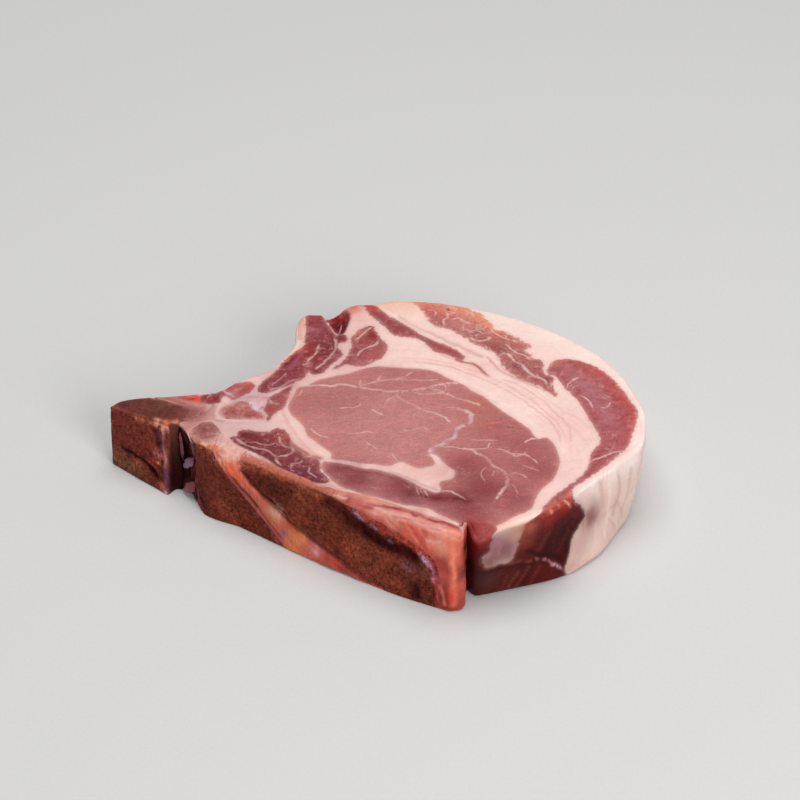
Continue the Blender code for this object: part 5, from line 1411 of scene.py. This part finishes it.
# Marks on the sawn side, by distance from the canal's corner and height. The dark washes
# from 106 on are painted shade where the gristle's end turns away; the bright washes at (6, 27.4),
# (34.5, 14.3), (97, 28) and (97.6, 8) are painted highlights.
SAWN_WASHES_WITH_SHADE_AND_HIGHLIGHTS = (
    (1, 14, 2.2, 0.8, 110, 45, 45), (0.6, 21, 2, 0.7, 110, 45, 45), (5, 27.6, 2.6, 0.8, 164, 90, 64),
    (6, 27.4, 1.1, 0.9, 235, 160, 120), (2.4, 27, 2, 0.7, 144, 78, 58), (3, 20, 5, 0.4, 110, 52, 36),
    (9, 12, 5, 0.3, 112, 56, 36), (15, 5, 4, 0.5, 122, 62, 46), (12, 9, 3, 0.4, 120, 62, 40),
    (22, 2.6, 3, 0.4, 112, 46, 34), (0, 2.4, 1.8, 0.7, 120, 52, 50), (3.2, 4.6, 1.9, 0.6, 48, 15, 12),
    (5, 14, 3, 0.5, 70, 32, 26), (12, 13, 2, 0.5, 60, 24, 18), (7, 18, 2, 0.4, 66, 28, 20),
    (16, 8, 2, 0.4, 64, 26, 20), (12, 27, 3.4, 0.95, 232, 168, 150), (15, 26.8, 3, 0.95, 232, 168, 150),
    (17.6, 28.4, 2.4, 0.9, 236, 180, 165), (13, 29.4, 3, 0.9, 238, 184, 168),
    (15.4, 22.4, 2.8, 0.95, 214, 92, 62), (18.5, 19.6, 2, 0.85, 206, 90, 64),
    (15.5, 23.5, 1.3, 0.8, 234, 112, 76), (17.8, 25.6, 1.1, 0.7, 230, 114, 80),
    (24, 17, 2.4, 0.85, 186, 95, 80), (28, 14, 2.2, 0.8, 184, 96, 80), (21, 19, 2, 0.85, 190, 96, 78),
    (33, 13.3, 2.5, 0.9, 190, 145, 120), (34.5, 14.3, 1.3, 0.8, 206, 162, 142),
    (33, 10.5, 1.6, 0.8, 170, 125, 80), (37, 10.2, 1.4, 0.8, 170, 85, 60),
    (36.5, 6, 1.9, 0.9, 140, 85, 100), (34, 8, 1.4, 0.8, 190, 90, 70), (41.6, 6, 3.4, 0.9, 196, 120, 70),
    (44.5, 8.3, 1.6, 0.7, 206, 126, 86), (40, 2, 2.4, 0.85, 196, 112, 66),
    (49.5, 5.2, 2.5, 0.85, 190, 120, 125), (49.5, 5, 1.2, 0.8, 202, 142, 152),
    (54, 3.2, 3, 0.85, 152, 62, 54), (57.5, 3, 1.6, 0.85, 178, 50, 42), (51, 1.4, 2.4, 0.8, 168, 66, 56),
    (62, 2.4, 3, 0.85, 128, 50, 44), (69, 1.6, 2.4, 0.85, 138, 58, 52), (59, 1.8, 1.8, 0.8, 130, 44, 40),
    (46, 1, 2, 0.8, 180, 88, 64), (27, 21, 4.6, 0.85, 62, 26, 22), (34, 21, 4.8, 0.8, 64, 27, 22),
    (44, 24, 3.4, 0.8, 120, 62, 40), (44, 27.8, 1.6, 0.7, 154, 86, 62), (63, 11, 4, 0.8, 126, 62, 42),
    (76, 14, 3, 0.6, 120, 58, 42), (79.5, 4, 4, 0.5, 110, 50, 38), (86, 13, 4, 0.85, 95, 50, 45),
    (92, 13, 3, 0.8, 95, 50, 45), (84.5, 13, 1.6, 0.7, 120, 75, 80), (95, 11.4, 1.6, 0.85, 125, 75, 80),
    (88, 5.5, 2.8, 0.95, 26, 7, 7), (88.4, 3, 2, 0.9, 32, 8, 8), (86, 10, 1.4, 0.7, 60, 22, 20),
    (92, 9, 1.6, 0.7, 60, 20, 20), (94, 6, 1.4, 0.85, 40, 14, 12), (86, 2.4, 1.4, 0.8, 45, 15, 12),
    (93, 1.8, 1.6, 0.8, 50, 20, 18), (50, 14, 6, 0.5, 96, 42, 30), (56.4, 12, 4, 0.6, 84, 34, 27),
    (40, 14, 5, 0.4, 112, 54, 36), (70, 8, 5, 0.3, 114, 56, 40), (52, 20, 5, 0.4, 90, 42, 30),
    (78, 29, 3.6, 0.9, 206, 142, 128), (72, 29.4, 3, 0.85, 206, 140, 128),
    (66, 29.6, 3, 0.8, 192, 112, 104), (87, 28, 3.4, 0.85, 208, 92, 80),
    (97, 28, 4.4, 0.92, 226, 146, 124), (95, 24.6, 3, 0.6, 206, 116, 96),
    (91.5, 22, 3, 0.9, 180, 75, 60), (85, 24, 2.4, 0.8, 188, 80, 62), (98.5, 18, 3, 0.9, 156, 62, 54),
    (98.5, 9, 3.2, 0.9, 128, 44, 38), (102, 8, 3, 0.8, 150, 58, 48), (101.6, 3, 3, 0.8, 134, 44, 38),
    (104, 18, 3, 0.8, 140, 60, 50), (96.8, 13, 2.4, 0.8, 146, 58, 56), (97, 5, 2.2, 0.9, 118, 40, 34),
    (96.4, 20, 2.2, 0.8, 156, 66, 60), (97.6, 8, 1, 0.8, 200, 110, 100), (99, 2, 3.6, 0.9, 116, 36, 30),
    (106, 16, 3.6, 0.95, 92, 32, 28), (107, 24, 3, 0.9, 120, 50, 42), (110.8, 14, 3.6, 0.97, 34, 9, 7),
    (111, 22, 3, 0.9, 60, 18, 14), (107, 28.6, 2.6, 0.85, 190, 100, 80), (104.6, 4, 2, 0.8, 132, 52, 44),
    (112, 3, 4, 0.9, 40, 10, 8), (98, 6, 4, 0.55, 98, 24, 19), (97, 20, 3, 0.5, 142, 46, 42),
    (75, 26, 2.6, 0.7, 170, 60, 44), (34, 13, 2, 0.6, 192, 134, 120))
# Among the strokes, the palest ones on the gristle near 92 to 97, the two along its edge near 102, the
# one from (97, 10) down and the pale lilac one from (89.4, 20.2) are painted highlights.
SAWN_STROKES_WITH_HIGHLIGHTS = (
    (0.6, 0.85, 172, 62, 62, (8.4, 29), (9.4, 27.2), (10.6, 25.4)),
    (1.1, 0.8, 132, 66, 66, (12.2, 21), (16, 17.6), (20, 14.1), (25, 9.6), (30, 5.8), (35, 1.6)),
    (0.9, 0.92, 44, 12, 12, (16.6, 19.2), (18, 18), (20, 16.5), (23, 14.1), (25, 12.2)),
    (0.6, 0.65, 80, 28, 27, (25, 12.4), (28, 9.8), (31, 7.3), (33.5, 5.3), (35.4, 4.2)),
    (0.8, 0.8, 188, 97, 80, (20, 20.6), (24, 17.8), (28, 15)),
    (0.8, 0.8, 128, 56, 58, (94.8, 15), (95.6, 10), (95.9, 5), (96, 1)),
    (0.9, 0.8, 132, 56, 54, (0.2, 7), (0.4, 4), (1.4, 1.4)),
    (0.8, 0.8, 46, 14, 12, (1.6, 5.6), (3, 4.4), (5, 3.4)),
    (0.9, 0.75, 60, 18, 14, (20.6, 22.6), (24, 19.8), (28.6, 17.4), (34, 14.9), (38, 12), (44, 10),
     (48.4, 8.2), (53, 6.6), (58, 5), (63, 3.4), (68, 2.2), (73, 1)),
    (1.1, 0.85, 142, 72, 52, (19, 26.4), (24, 27), (30, 27.2), (40, 28), (46, 27.6), (52, 26.9)),
    (2.1, 0.85, 50, 16, 16, (54, 26), (60, 24.6), (66, 23.8), (70, 21.6), (75, 20), (80, 20), (86, 19),
     (89, 18)),
    (1.5, 0.92, 32, 8, 6, (69, 20), (73, 19), (78, 18.5), (80.4, 18)),
    (1.3, 0.88, 36, 12, 10, (84.5, 19.2), (87, 18.2)),
    (0.7, 0.9, 152, 108, 128, (64.5, 26.8), (66.5, 25.7)),
    (0.6, 0.85, 142, 97, 122, (67, 25.4), (68.2, 25)), (0.7, 0.9, 152, 97, 122, (71, 23.8), (73, 23.2)),
    (0.6, 0.8, 132, 87, 107, (78, 20.8), (79.2, 20.5)),
    (1, 0.92, 194, 146, 166, (89.4, 20.2), (91, 18.8), (92.6, 17.2)),
    (0.6, 0.8, 160, 100, 112, (92.6, 17.2), (94, 14.6), (94.8, 11)),
    (1.2, 0.85, 160, 64, 50, (68, 27), (74, 25.4), (80, 23.9), (86, 22.1), (90.4, 20.6)),
    (0.5, 0.7, 240, 186, 170, (92.2, 27.1), (93.8, 27.9)),
    (0.5, 0.7, 240, 186, 170, (95.4, 28.2), (96.8, 28.9)),
    (0.5, 0.6, 228, 126, 100, (83.4, 30.4), (86, 27.4), (88.6, 24.6)),
    (0.5, 0.6, 186, 64, 50, (85.6, 30.8), (88.2, 27.4), (90.8, 24.4)),
    (0.5, 0.5, 226, 122, 98, (88.4, 30.8), (90.6, 28), (93, 24.6)),
    (0.5, 0.5, 176, 68, 56, (76, 31), (79, 28.6), (82, 26)),
    (0.9, 0.8, 200, 104, 84, (101.8, 30), (101.4, 24), (101.9, 17), (102, 10), (101.8, 3)),
    (0.7, 0.5, 224, 132, 106, (102, 28), (101.7, 22), (102.2, 15)),
    (1.1, 0.6, 188, 58, 46, (100.8, 9), (101.2, 5)),
    (0.8, 0.6, 206, 108, 96, (97, 10), (98, 7), (98.6, 3)),
    (3, 0.75, 44, 13, 13, (62, 22), (70, 20), (79, 18.6), (87, 18)))

# Marks on the tops of the bones and gristle, by place
CREST_WASHES = (
    (-57.2, -5, 4.6, 0.96, 120, 60, 57), (-56, -7.4, 1.2, 0.7, 180, 128, 132),
    (-58.6, -3.4, 1.2, 0.6, 150, 88, 84), (-55.6, -3.8, 1.2, 0.5, 160, 100, 100),
    (-58.4, -7.4, 1.4, 0.5, 124, 66, 62), (-57, -9, 2.2, 0.7, 154, 94, 90),
    (-56.6, -4.4, 0.9, 0.7, 176, 116, 112), (-62, -5.4, 1.2, 0.9, 190, 140, 135),
    (-61.2, -8, 1.4, 0.8, 196, 146, 140), (-52, -8, 1.8, 0.8, 215, 170, 165),
    (-52, -11.6, 1.6, 0.8, 200, 165, 170), (-49, -15, 3, 0.7, 228, 174, 164),
    (-46, -18.4, 2, 0.5, 226, 168, 156), (-9, -43.6, 2.8, 0.92, 158, 70, 72),
    (-5, -45.6, 2.2, 0.85, 172, 80, 80), (-12, -43.4, 1, 0.85, 226, 152, 132),
    (-7.4, -47, 0.8, 0.9, 234, 164, 124), (0, -50, 3, 0.8, 208, 142, 134),
    (7, -55, 4, 0.8, 220, 160, 146), (12.6, -60.6, 2.8, 0.9, 206, 92, 86),
    (12, -57, 2.4, 0.7, 214, 130, 116), (20, -60, 4, 0.8, 226, 152, 134),
    (25, -62, 3, 0.8, 222, 142, 122), (27.4, -63.6, 1.6, 0.8, 214, 116, 92),
    (17, -51, 2, 0.9, 226, 172, 162), (14, -55.6, 2.6, 0.6, 222, 150, 136))
CREST_STROKES = (
    (1.2, 0.75, 176, 90, 88, (-32, -29.4), (-24, -34.8), (-17, -39.4)),
    (0.7, 0.8, 146, 60, 64, (-15, -41.6), (-10, -44.8), (-6, -46.8), (-1, -48.4)),
    (0.5, 0.8, 228, 176, 166, (-22, -36.6), (-15, -40.6), (-9, -43.2)),
    (0.6, 0.8, 158, 70, 72, (6, -52.4), (11, -54.6), (17, -58), (21, -60.6)),
    (0.5, 0.8, 236, 186, 172, (8, -57), (14, -59.6), (19, -62)),
    (1.5, 0.4, 150, 84, 78, (-60.2, -6), (-60.6, -3.4), (-58.8, -1.6), (-56, -1.2), (-54.2, -2.8),
     (-53.4, -5), (-54.2, -8), (-56.4, -9.6), (-59, -8.8), (-60.6, -6)),
    (0.4, 0.4, 150, 86, 80, (-59.4, -6), (-59.4, -3.8), (-58, -2.6), (-56, -2.4), (-54.8, -5),
     (-56, -7.8)),
    (0.9, 0.8, 170, 100, 84, (-61, -9.8), (-60, -11.2), (-58.4, -12.4)),
    (0.9, 0.92, 232, 172, 142, (-57.8, -12.6), (-56.2, -13.6)),
    (0.8, 0.9, 212, 122, 92, (-55.6, -13.8), (-54.2, -15)),
    (0.9, 0.9, 217, 112, 87, (-54, -14.6), (-52, -17), (-50, -19.4)),
    (0.9, 0.9, 232, 167, 147, (-49, -20), (-46, -22)),
    (0.9, 0.85, 180, 102, 80, (-44, -21), (-38, -24.8), (-31, -29.4), (-22, -35.4), (-14, -40.8)),
    (0.6, 0.8, 200, 140, 158, (-14, -45), (-10, -47.4), (-6, -49.8)),
    (1, 0.75, 168, 80, 84, (-2, -46.4), (4, -48.4), (10, -50.4), (16, -54), (22, -57.2), (26.6, -59.4)),
    (0.5, 0.85, 146, 56, 66, (3, -47.4), (6.4, -49.2), (8, -49.4)),
    (0.5, 0.85, 150, 60, 68, (11.6, -51.2), (13, -53.2), (14.6, -52.4)),
    (0.5, 0.85, 150, 58, 66, (17.6, -55), (20, -56.4), (22, -56.4), (24.6, -58.2), (26.6, -58.8)),
    (0.6, 0.6, 228, 180, 168, (0, -48.4), (5, -51.6), (10, -53.6), (15, -57), (22, -60.4)),
    (0.6, 0.8, 226, 176, 168, (18, -51.4), (22, -54.4), (27, -58), (30, -60.6)))

# The back of the bones, by distance from the canal's corner: distance, x, y
BACK_LINE = (
    (-4, -62.7, -7.4), (-2, -62, -5.6), (0, -60.8, -3.4), (2.5, -58.4, -0.9), (5.5, -55.4, -0.8),
    (7.5, -52.8, -4.6), (10.3, -49.4, -11.8), (19.4, -42, -17.2), (54.2, -12.6, -36), (80.3, 10, -49),
    (95.6, 23.4, -56.4), (101, 27.4, -58), (105, 28.6, -57.8), (109, 29.2, -57), (112.2, 29.8, -56.3))

# How far the bones' tops show before the flesh covers them: distance, width
LIP = ((10.3, 30.0), (11.4, 6.0), (17.0, 3.8), (20.0, 2.8), (22.0, 2.0), (30.0, 1.7), (50.0, 1.7),
       (55.0, 2.0), (60.0, 3.0), (65.0, 3.9), (70.0, 4.6), (80.0, 5.4), (90.0, 6.0), (94.0, 30.0))
LEVEL_STEP = 0.36
FACE_HEIGHT = 29.0
LIP_RISE = 0.12
BEND_ROWS = 3
TOP_ROWS = 26
FOOT_ROWS = 7
TOP_SUNK = 1.2


def sawn_side():
    """The outline from the canal's back wall to the groove, by distance from the corner."""
    canal = stretch("canal, back wall")
    canal = canal[canal[:, 1] < -7.2]
    rows = np.vstack((canal[:-1], stretch("sawn processes")[:-1], stretch("rounded end")))
    along = run_of(rows)
    along -= along[len(canal) - 1]
    tangent = np.gradient(rows[:, :2], along, axis=0)
    for _pass in range(3):
        tangent[1:-1] = (tangent[:-2] + tangent[1:-1] + tangent[2:]) / 3
    tangent /= np.linalg.norm(tangent, axis=1)[:, None]
    out = np.column_stack((tangent[:, 1], -tangent[:, 0]))
    return along, np.hstack((rows, out))


SIDE_ALONG, SIDE_ROWS = sawn_side()


def edge_curve(points):
    """A dividing line of the sawn face as distance by height."""
    line = smooth_line([(z, along) for along, z in points], 0.5)
    return lambda z: np.interp(z, line[:, 0], line[:, 1])


def plate(first, last, columns):
    """A plate of the sawn side between two dividing lines: a loop up its face, over its top,
    down its back and under its foot, carried from one line to the other. Each column takes
    its own share of the way between the lines at every height.

    Gives the points, loop by column, their distance along the face, and the loop's parts."""
    share = np.linspace(0.0, 1.0, columns)[None, :]
    tall = int(round(THICKNESS / LEVEL_STEP))
    curve = np.linspace(0.0, 0.5 * np.pi, BEND_ROWS + 1)[:-1]
    level = np.full(BEND_ROWS + tall, 0.5 * np.pi)
    rise = np.concatenate((np.zeros(BEND_ROWS), np.linspace(0.0, 1.0, tall), np.ones(BEND_ROWS)))
    foot_bend = np.concatenate((curve, level))
    top_bend = np.concatenate((level, curve[::-1]))
    guess = (rise * FACE_HEIGHT)[:, None]
    s = first(guess) * (1 - share) + last(guess) * share
    cut = [np.interp(s, SIDE_ALONG, column) for column in SIDE_ROWS.T]
    x, y, lean_x, lean_y, top_round, foot_round, swell, out_x, out_y = cut
    height = top_height(x, y)
    low = foot_round * (1 - np.cos(foot_bend))[:, None]
    high = top_round * (1 - np.cos(top_bend))[:, None]
    wall = foot_round + (height - top_round - foot_round) * rise[:, None]
    z = np.where(rise[:, None] <= 0, low, height - high)
    z[BEND_ROWS:BEND_ROWS + tall] = wall[BEND_ROWS:BEND_ROWS + tall]
    inset = foot_round * (1 - np.sin(foot_bend))[:, None] + top_round * (1 - np.sin(top_bend))[:, None]
    part = z / height
    push = swell * np.sin(np.pi * part) - inset
    front = np.stack((x + lean_x * (1 - part) + out_x * push,
                      y + lean_y * (1 - part) + out_y * push, z), -1)
    back_at = np.array(BACK_LINE)
    back = np.stack((np.interp(s, back_at[:, 0], back_at[:, 1]),
                     np.interp(s, back_at[:, 0], back_at[:, 2]), z), -1)
    over = np.linspace(0.0, 1.0, TOP_ROWS)[1:, None, None] ** 1.4
    top = front[-1] + (back[-1] - front[-1]) * over
    lip = np.interp(s[-1], *np.array(LIP).T)
    inside = np.linalg.norm((top - front[-1])[..., :2], axis=-1)
    top[..., 2] = top_height(top[..., 0], top[..., 1]) - TOP_SUNK * ease(inside - lip, -0.1, 1.2)
    back[..., 2] *= top[-1, :, 2] / back[-1, :, 2]
    top = top[:-1]
    under = np.linspace(0.0, 1.0, FOOT_ROWS)[1:-1, None, None]
    foot = back[0] + (front[0] - back[0]) * under
    points = np.concatenate((front, top, back[::-1], foot))
    reach = np.concatenate((s, np.repeat(s[-1:], len(top), 0), s[::-1], np.repeat(s[:1], len(foot), 0)))
    counts = (len(front), len(top), len(foot))
    return points, reach, counts


def plate_faces(counts, columns):
    """Quads round the loop from column to column, and a lid of quads and fans on each end."""
    tall, over, under = counts
    loop = 2 * tall + over + under
    index = np.arange(loop * columns).reshape(loop, columns)
    nxt = np.roll(index, -1, axis=0)
    walls = np.stack((index[:, :-1], index[:, 1:], nxt[:, 1:], nxt[:, :-1]), -1).reshape(-1, 4)
    quads = [walls]
    fans = []
    for column, turn in ((0, 1), (columns - 1, -1)):
        ring = index[:, column]
        front = ring[:tall]
        back = ring[tall + over:2 * tall + over][::-1]
        lid = np.stack((front[:-1], front[1:], back[1:], back[:-1]), -1)
        quads.append(lid[:, ::turn])
        rim = np.concatenate((ring[tall:tall + over], back[-1:]))
        fan = np.stack((np.full(len(rim) - 1, front[-1]), rim[:-1], rim[1:]), -1)
        fans.append(fan[:, ::turn])
        rim = np.concatenate((back[:1], ring[2 * tall + over:]))
        fan = np.stack((np.full(len(rim) - 1, front[0]), rim[:-1], rim[1:]), -1)
        fans.append(fan[:, ::turn])
    return np.vstack(quads), np.vstack(fans)


def plate_piece(name, first, last, columns, relief, tints, spongy):
    """A finished plate: its relief pushes the face out and the top up. Its tints are the base
    colours of its face and of its top, and spongy says how open the bone is on each."""
    points, reach, counts = plate(first, last, columns)
    tall, over, _under = counts
    loop = len(points)
    on_face = np.zeros((loop, columns))
    on_face[:tall] = 1.0
    on_top = np.zeros((loop, columns))
    on_top[tall - 2:tall + over + 1] = 1.0
    across = np.tile(np.linspace(0.0, 1.0, columns), (loop, 1))
    out = np.stack([np.interp(reach, SIDE_ALONG, SIDE_ROWS[:, k]) for k in (7, 8)], -1)
    flat = points.reshape(-1, 3)
    shift = relief(flat, reach.ravel(), across.ravel())
    below = top_height(flat[:, 0], flat[:, 1]) - flat[:, 2]
    face = on_face.ravel()
    push = shift * face * ease(flat[:, 2], 0.2, 1.2) * ease(below, 0.3, 1.4)
    flat[:, :2] += out.reshape(-1, 2) * push[:, None]
    lift = LIP_RISE + 0.45 * shift + 0.16 * cloud(flat, 3.0, 57)
    flat[:, 2] += lift * on_top.ravel() * (1 - ease(below, 0.0, 0.8))
    place = ragged(np.column_stack((reach.ravel(), flat[:, 2])))
    # The face's colours are lifted by in_shade: painted light against the shade it stands in.
    faces = in_shade(painted(tints[0], place, SAWN_WASHES_WITH_SHADE_AND_HIGHLIGHTS, SAWN_STROKES_WITH_HIGHLIGHTS))
    tops = painted(tints[1], ragged(flat[:, :2]), CREST_WASHES, CREST_STROKES)
    share = ease(below, 0.1, 1.0)
    made = body(name, flat, *plate_faces(counts, columns))
    open_bone = spongy[0] * share + spongy[1] * (1 - share)
    set_fields(made.data, tint=mixed(tops, faces, share), spongy=open_bone)
    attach(made, "root")
    return made


OVERLAP = 0.05
SPONGE_DEPTH = 1.1
START = -3.9
END = 112.1
lower_line = edge_curve(LIGAMENT_LOWER)
upper_line = edge_curve(LIGAMENT_UPPER)
gristle_line = edge_curve(CARTILAGE_LOWER)

lamina = plate_piece(
    "lamina_bone", lambda z: np.full_like(z, START), lambda z: lower_line(z) + OVERLAP, 110,
    lambda at, s, u: SPONGE_DEPTH * sponge(at, 41) - 0.4 * np.exp(-((1 - u) / 0.04) ** 2),
    ((86, 38, 28), (208, 160, 152)), (1.0, 0.4))
lamina.data.materials.append(bone_material("spongy_bone_lamina"))
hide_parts("lamina")

# ------------------------------------------------------------------ the ligament
# The tough band between two spinous processes, cut lengthwise: salmon and yellow fibres
# that run down its slant, wet, and fuller than the bones beside it.
def fibres(at, s, u):
    """Long soft ridges down the band's slant, and a full belly across it."""
    ridge = cloud(np.column_stack((u * 9.0, at[:, 2] * 0.07, s * 0.01)), 1.0, 46)
    return 0.55 * np.sin(np.pi * u) + 0.32 * ridge + 0.10 * cloud(at, 1.6, 47)


def gristle_material(name, stretch_of_streaks):
    """Wet gristle: the piece's tint with fine pale and red streaks and a glassy film."""
    mix = Recipe(name)
    streak = mix.noise(1.0, 3.0, 0.6, 0.3, mix.drawn((0.0, 0.75, -0.56), stretch_of_streaks))
    coarse = mix.noise(0.35, 3.0, 0.6)
    fine = mix.noise(1.6, 3.0, 0.6)
    light = mix.times_plus(fine, 0.16, mix.times_plus(streak, 0.34, 0.98))
    tint = mix.scaled(mix.field("tint", "Color"), light)
    pale = mix.ramp(streak, 0.12, 0.55, 0.0, 0.10)
    tint = mix.blend(pale, tint, (*shade(244, 190, 170), 1.0))
    tint = mix.blend(mix.ramp(coarse, 0.0, 0.5, 0.0, 0.16), tint, (*shade(190, 62, 48), 1.0))
    mix.wet(tint, mix.ramp(coarse, -0.4, 0.4, 0.24, 0.42), 0.12)
    mix.soft(0.15, 0.002, (1.0, 0.35, 0.2))
    mix.grained(mix.times_plus(fine, 0.4, streak), 0.35, 0.0003)
    return mix.material


ligament = plate_piece(
    "ligament_band", lambda z: lower_line(z) - OVERLAP, lambda z: upper_line(z) + OVERLAP, 76, fibres,
    ((178, 88, 70), (225, 170, 160)), (0.0, 0.0))
ligament.data.materials.append(gristle_material("wet_ligament", (0.9, 0.9, 0.18)))
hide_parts("ligament")

# ------------------------------------------------------------------ the spinous process
# The flat blade of bone that fills most of the long sawn face: brown sponge with orange
# marrow grains, darker under the gristle at its upper end.
process = plate_piece(
    "spinous_process_bone", lambda z: upper_line(z) - OVERLAP, lambda z: gristle_line(z) + OVERLAP, 230,
    lambda at, s, u: SPONGE_DEPTH * sponge(at, 51),
    ((97, 46, 33), (196, 118, 104)), (1.0, 0.25))
process.data.materials.append(bone_material("spongy_bone_process"))
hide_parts("spinous_process")

# ------------------------------------------------------------------ the gristle tip
# Young cartilage caps the process. It wedges in over the bone and turns down round the end
# of the sawn face: salmon, half clear and shining wet.
tip = plate_piece(
    "cartilage_tip_gristle", lambda z: gristle_line(z) - OVERLAP, lambda z: np.full_like(z, END), 130,
    lambda at, s, u: 0.30 * np.sin(np.pi * u) + bumps(at, ((0.30, 5.0, 61), (0.12, 2.0, 62))),
    ((176, 80, 66), (220, 146, 132)), (0.0, 0.0))
tip.data.materials.append(gristle_material("wet_cartilage", (0.35, 0.5, 0.25)))
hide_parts("cartilage_tip")

# ------------------------------------------------------------------ the shreds in the canal
# Torn membrane hangs in the half canal between the bones: a thin pale strip, a lilac nub on
# the right and a wedge of pink tissue at the foot. Soft, wet and a little clear.
SHREDS = (
    ("membrane_strip", 0.4, ((-66, -2.3, 23.4, 0.6, (136, 88, 90)),
     (-65.9, -2.9, 20, 0.8, (120, 74, 78)), (-65.6, -3.6, 16, 0.9, (126, 80, 86)),
     (-65.3, -4.4, 12.4, 0.5, (84, 44, 48)))),
    ("membrane_nub", 0.5, ((-65, -5.6, 10.4, 0.5, (112, 84, 106)),
     (-64.4, -6.8, 12.2, 1.2, (142, 116, 138)), (-63.2, -8.4, 14.8, 1.4, (136, 108, 130)),
     (-62, -9.9, 17.4, 1.3, (116, 80, 96)), (-61.4, -10.6, 19.4, 0.5, (90, 52, 62)))),
    ("membrane_wedge", 0.5, ((-66, -6.6, 0.9, 0.5, (190, 136, 134)),
     (-64.6, -7.9, 2.2, 1.2, (154, 88, 90)), (-62.8, -9.2, 4.6, 2.1, (140, 76, 80)),
     (-61.6, -10.4, 8, 1.5, (118, 56, 58)))))
SHRED_RINGS = 40
SHRED_SIDES = 20
OPEN_WAY = (-0.6, -0.8, 0.0)


def shred(name, flatness, knots):
    """A drawn-out lump along the line of its knots (x, y, z, radius, colour): a circle round
    the line at each step, squeezed towards the canal's wall, closed at both ends."""
    table = np.array([knot[:4] + tuple(shade(*knot[4])) for knot in knots])
    gaps = np.linalg.norm(np.diff(table[:, :3], axis=0), axis=1)
    along = np.concatenate(([0.0], np.cumsum(gaps)))
    turn = np.linspace(0.0, np.pi, SHRED_RINGS)
    at = along[-1] * (1 - np.cos(turn)) / 2
    rows = np.column_stack([np.interp(at, along, column) for column in table.T])
    line = np.gradient(rows[:, :3], axis=0)
    line /= np.linalg.norm(line, axis=1)[:, None]
    side = np.cross(line, OPEN_WAY)
    side /= np.linalg.norm(side, axis=1)[:, None]
    depth = np.cross(side, line)
    radius = (rows[:, 3] * np.sin(turn) ** 0.6)[:, None, None]
    angle = np.linspace(0.0, 2 * np.pi, SHRED_SIDES, endpoint=False)
    ring = (np.cos(angle)[None, :, None] * side[:, None]
            + flatness * np.sin(angle)[None, :, None] * depth[:, None])
    points = (rows[:, None, :3] + np.maximum(radius, 0.02) * ring).reshape(-1, 3)
    points += bumps(points, ((0.5, 1.4, 91),))[:, None] * ring.reshape(-1, 3)
    index = np.arange(SHRED_RINGS * SHRED_SIDES).reshape(SHRED_RINGS, SHRED_SIDES)
    nxt = np.roll(index, -1, axis=1)
    quads = np.stack((index[:-1], index[1:], nxt[1:], nxt[:-1]), -1).reshape(-1, 4)
    spin = np.arange(1, SHRED_SIDES - 1)
    first = np.column_stack((np.zeros(len(spin), int), spin, spin + 1))
    last = np.column_stack((np.zeros(len(spin), int), spin + 1, spin)) + index[-1, 0]
    made = body(name, points, quads, np.vstack((first, last)))
    set_fields(made.data, tint=np.repeat(rows[:, 4:], SHRED_SIDES, axis=0))
    return made


membrane = gristle_material("wet_membrane", (0.6, 0.6, 0.3))
for name, flatness, knots in SHREDS:
    piece = shred(name, flatness, knots)
    piece.data.materials.append(membrane)
    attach(piece, "root")
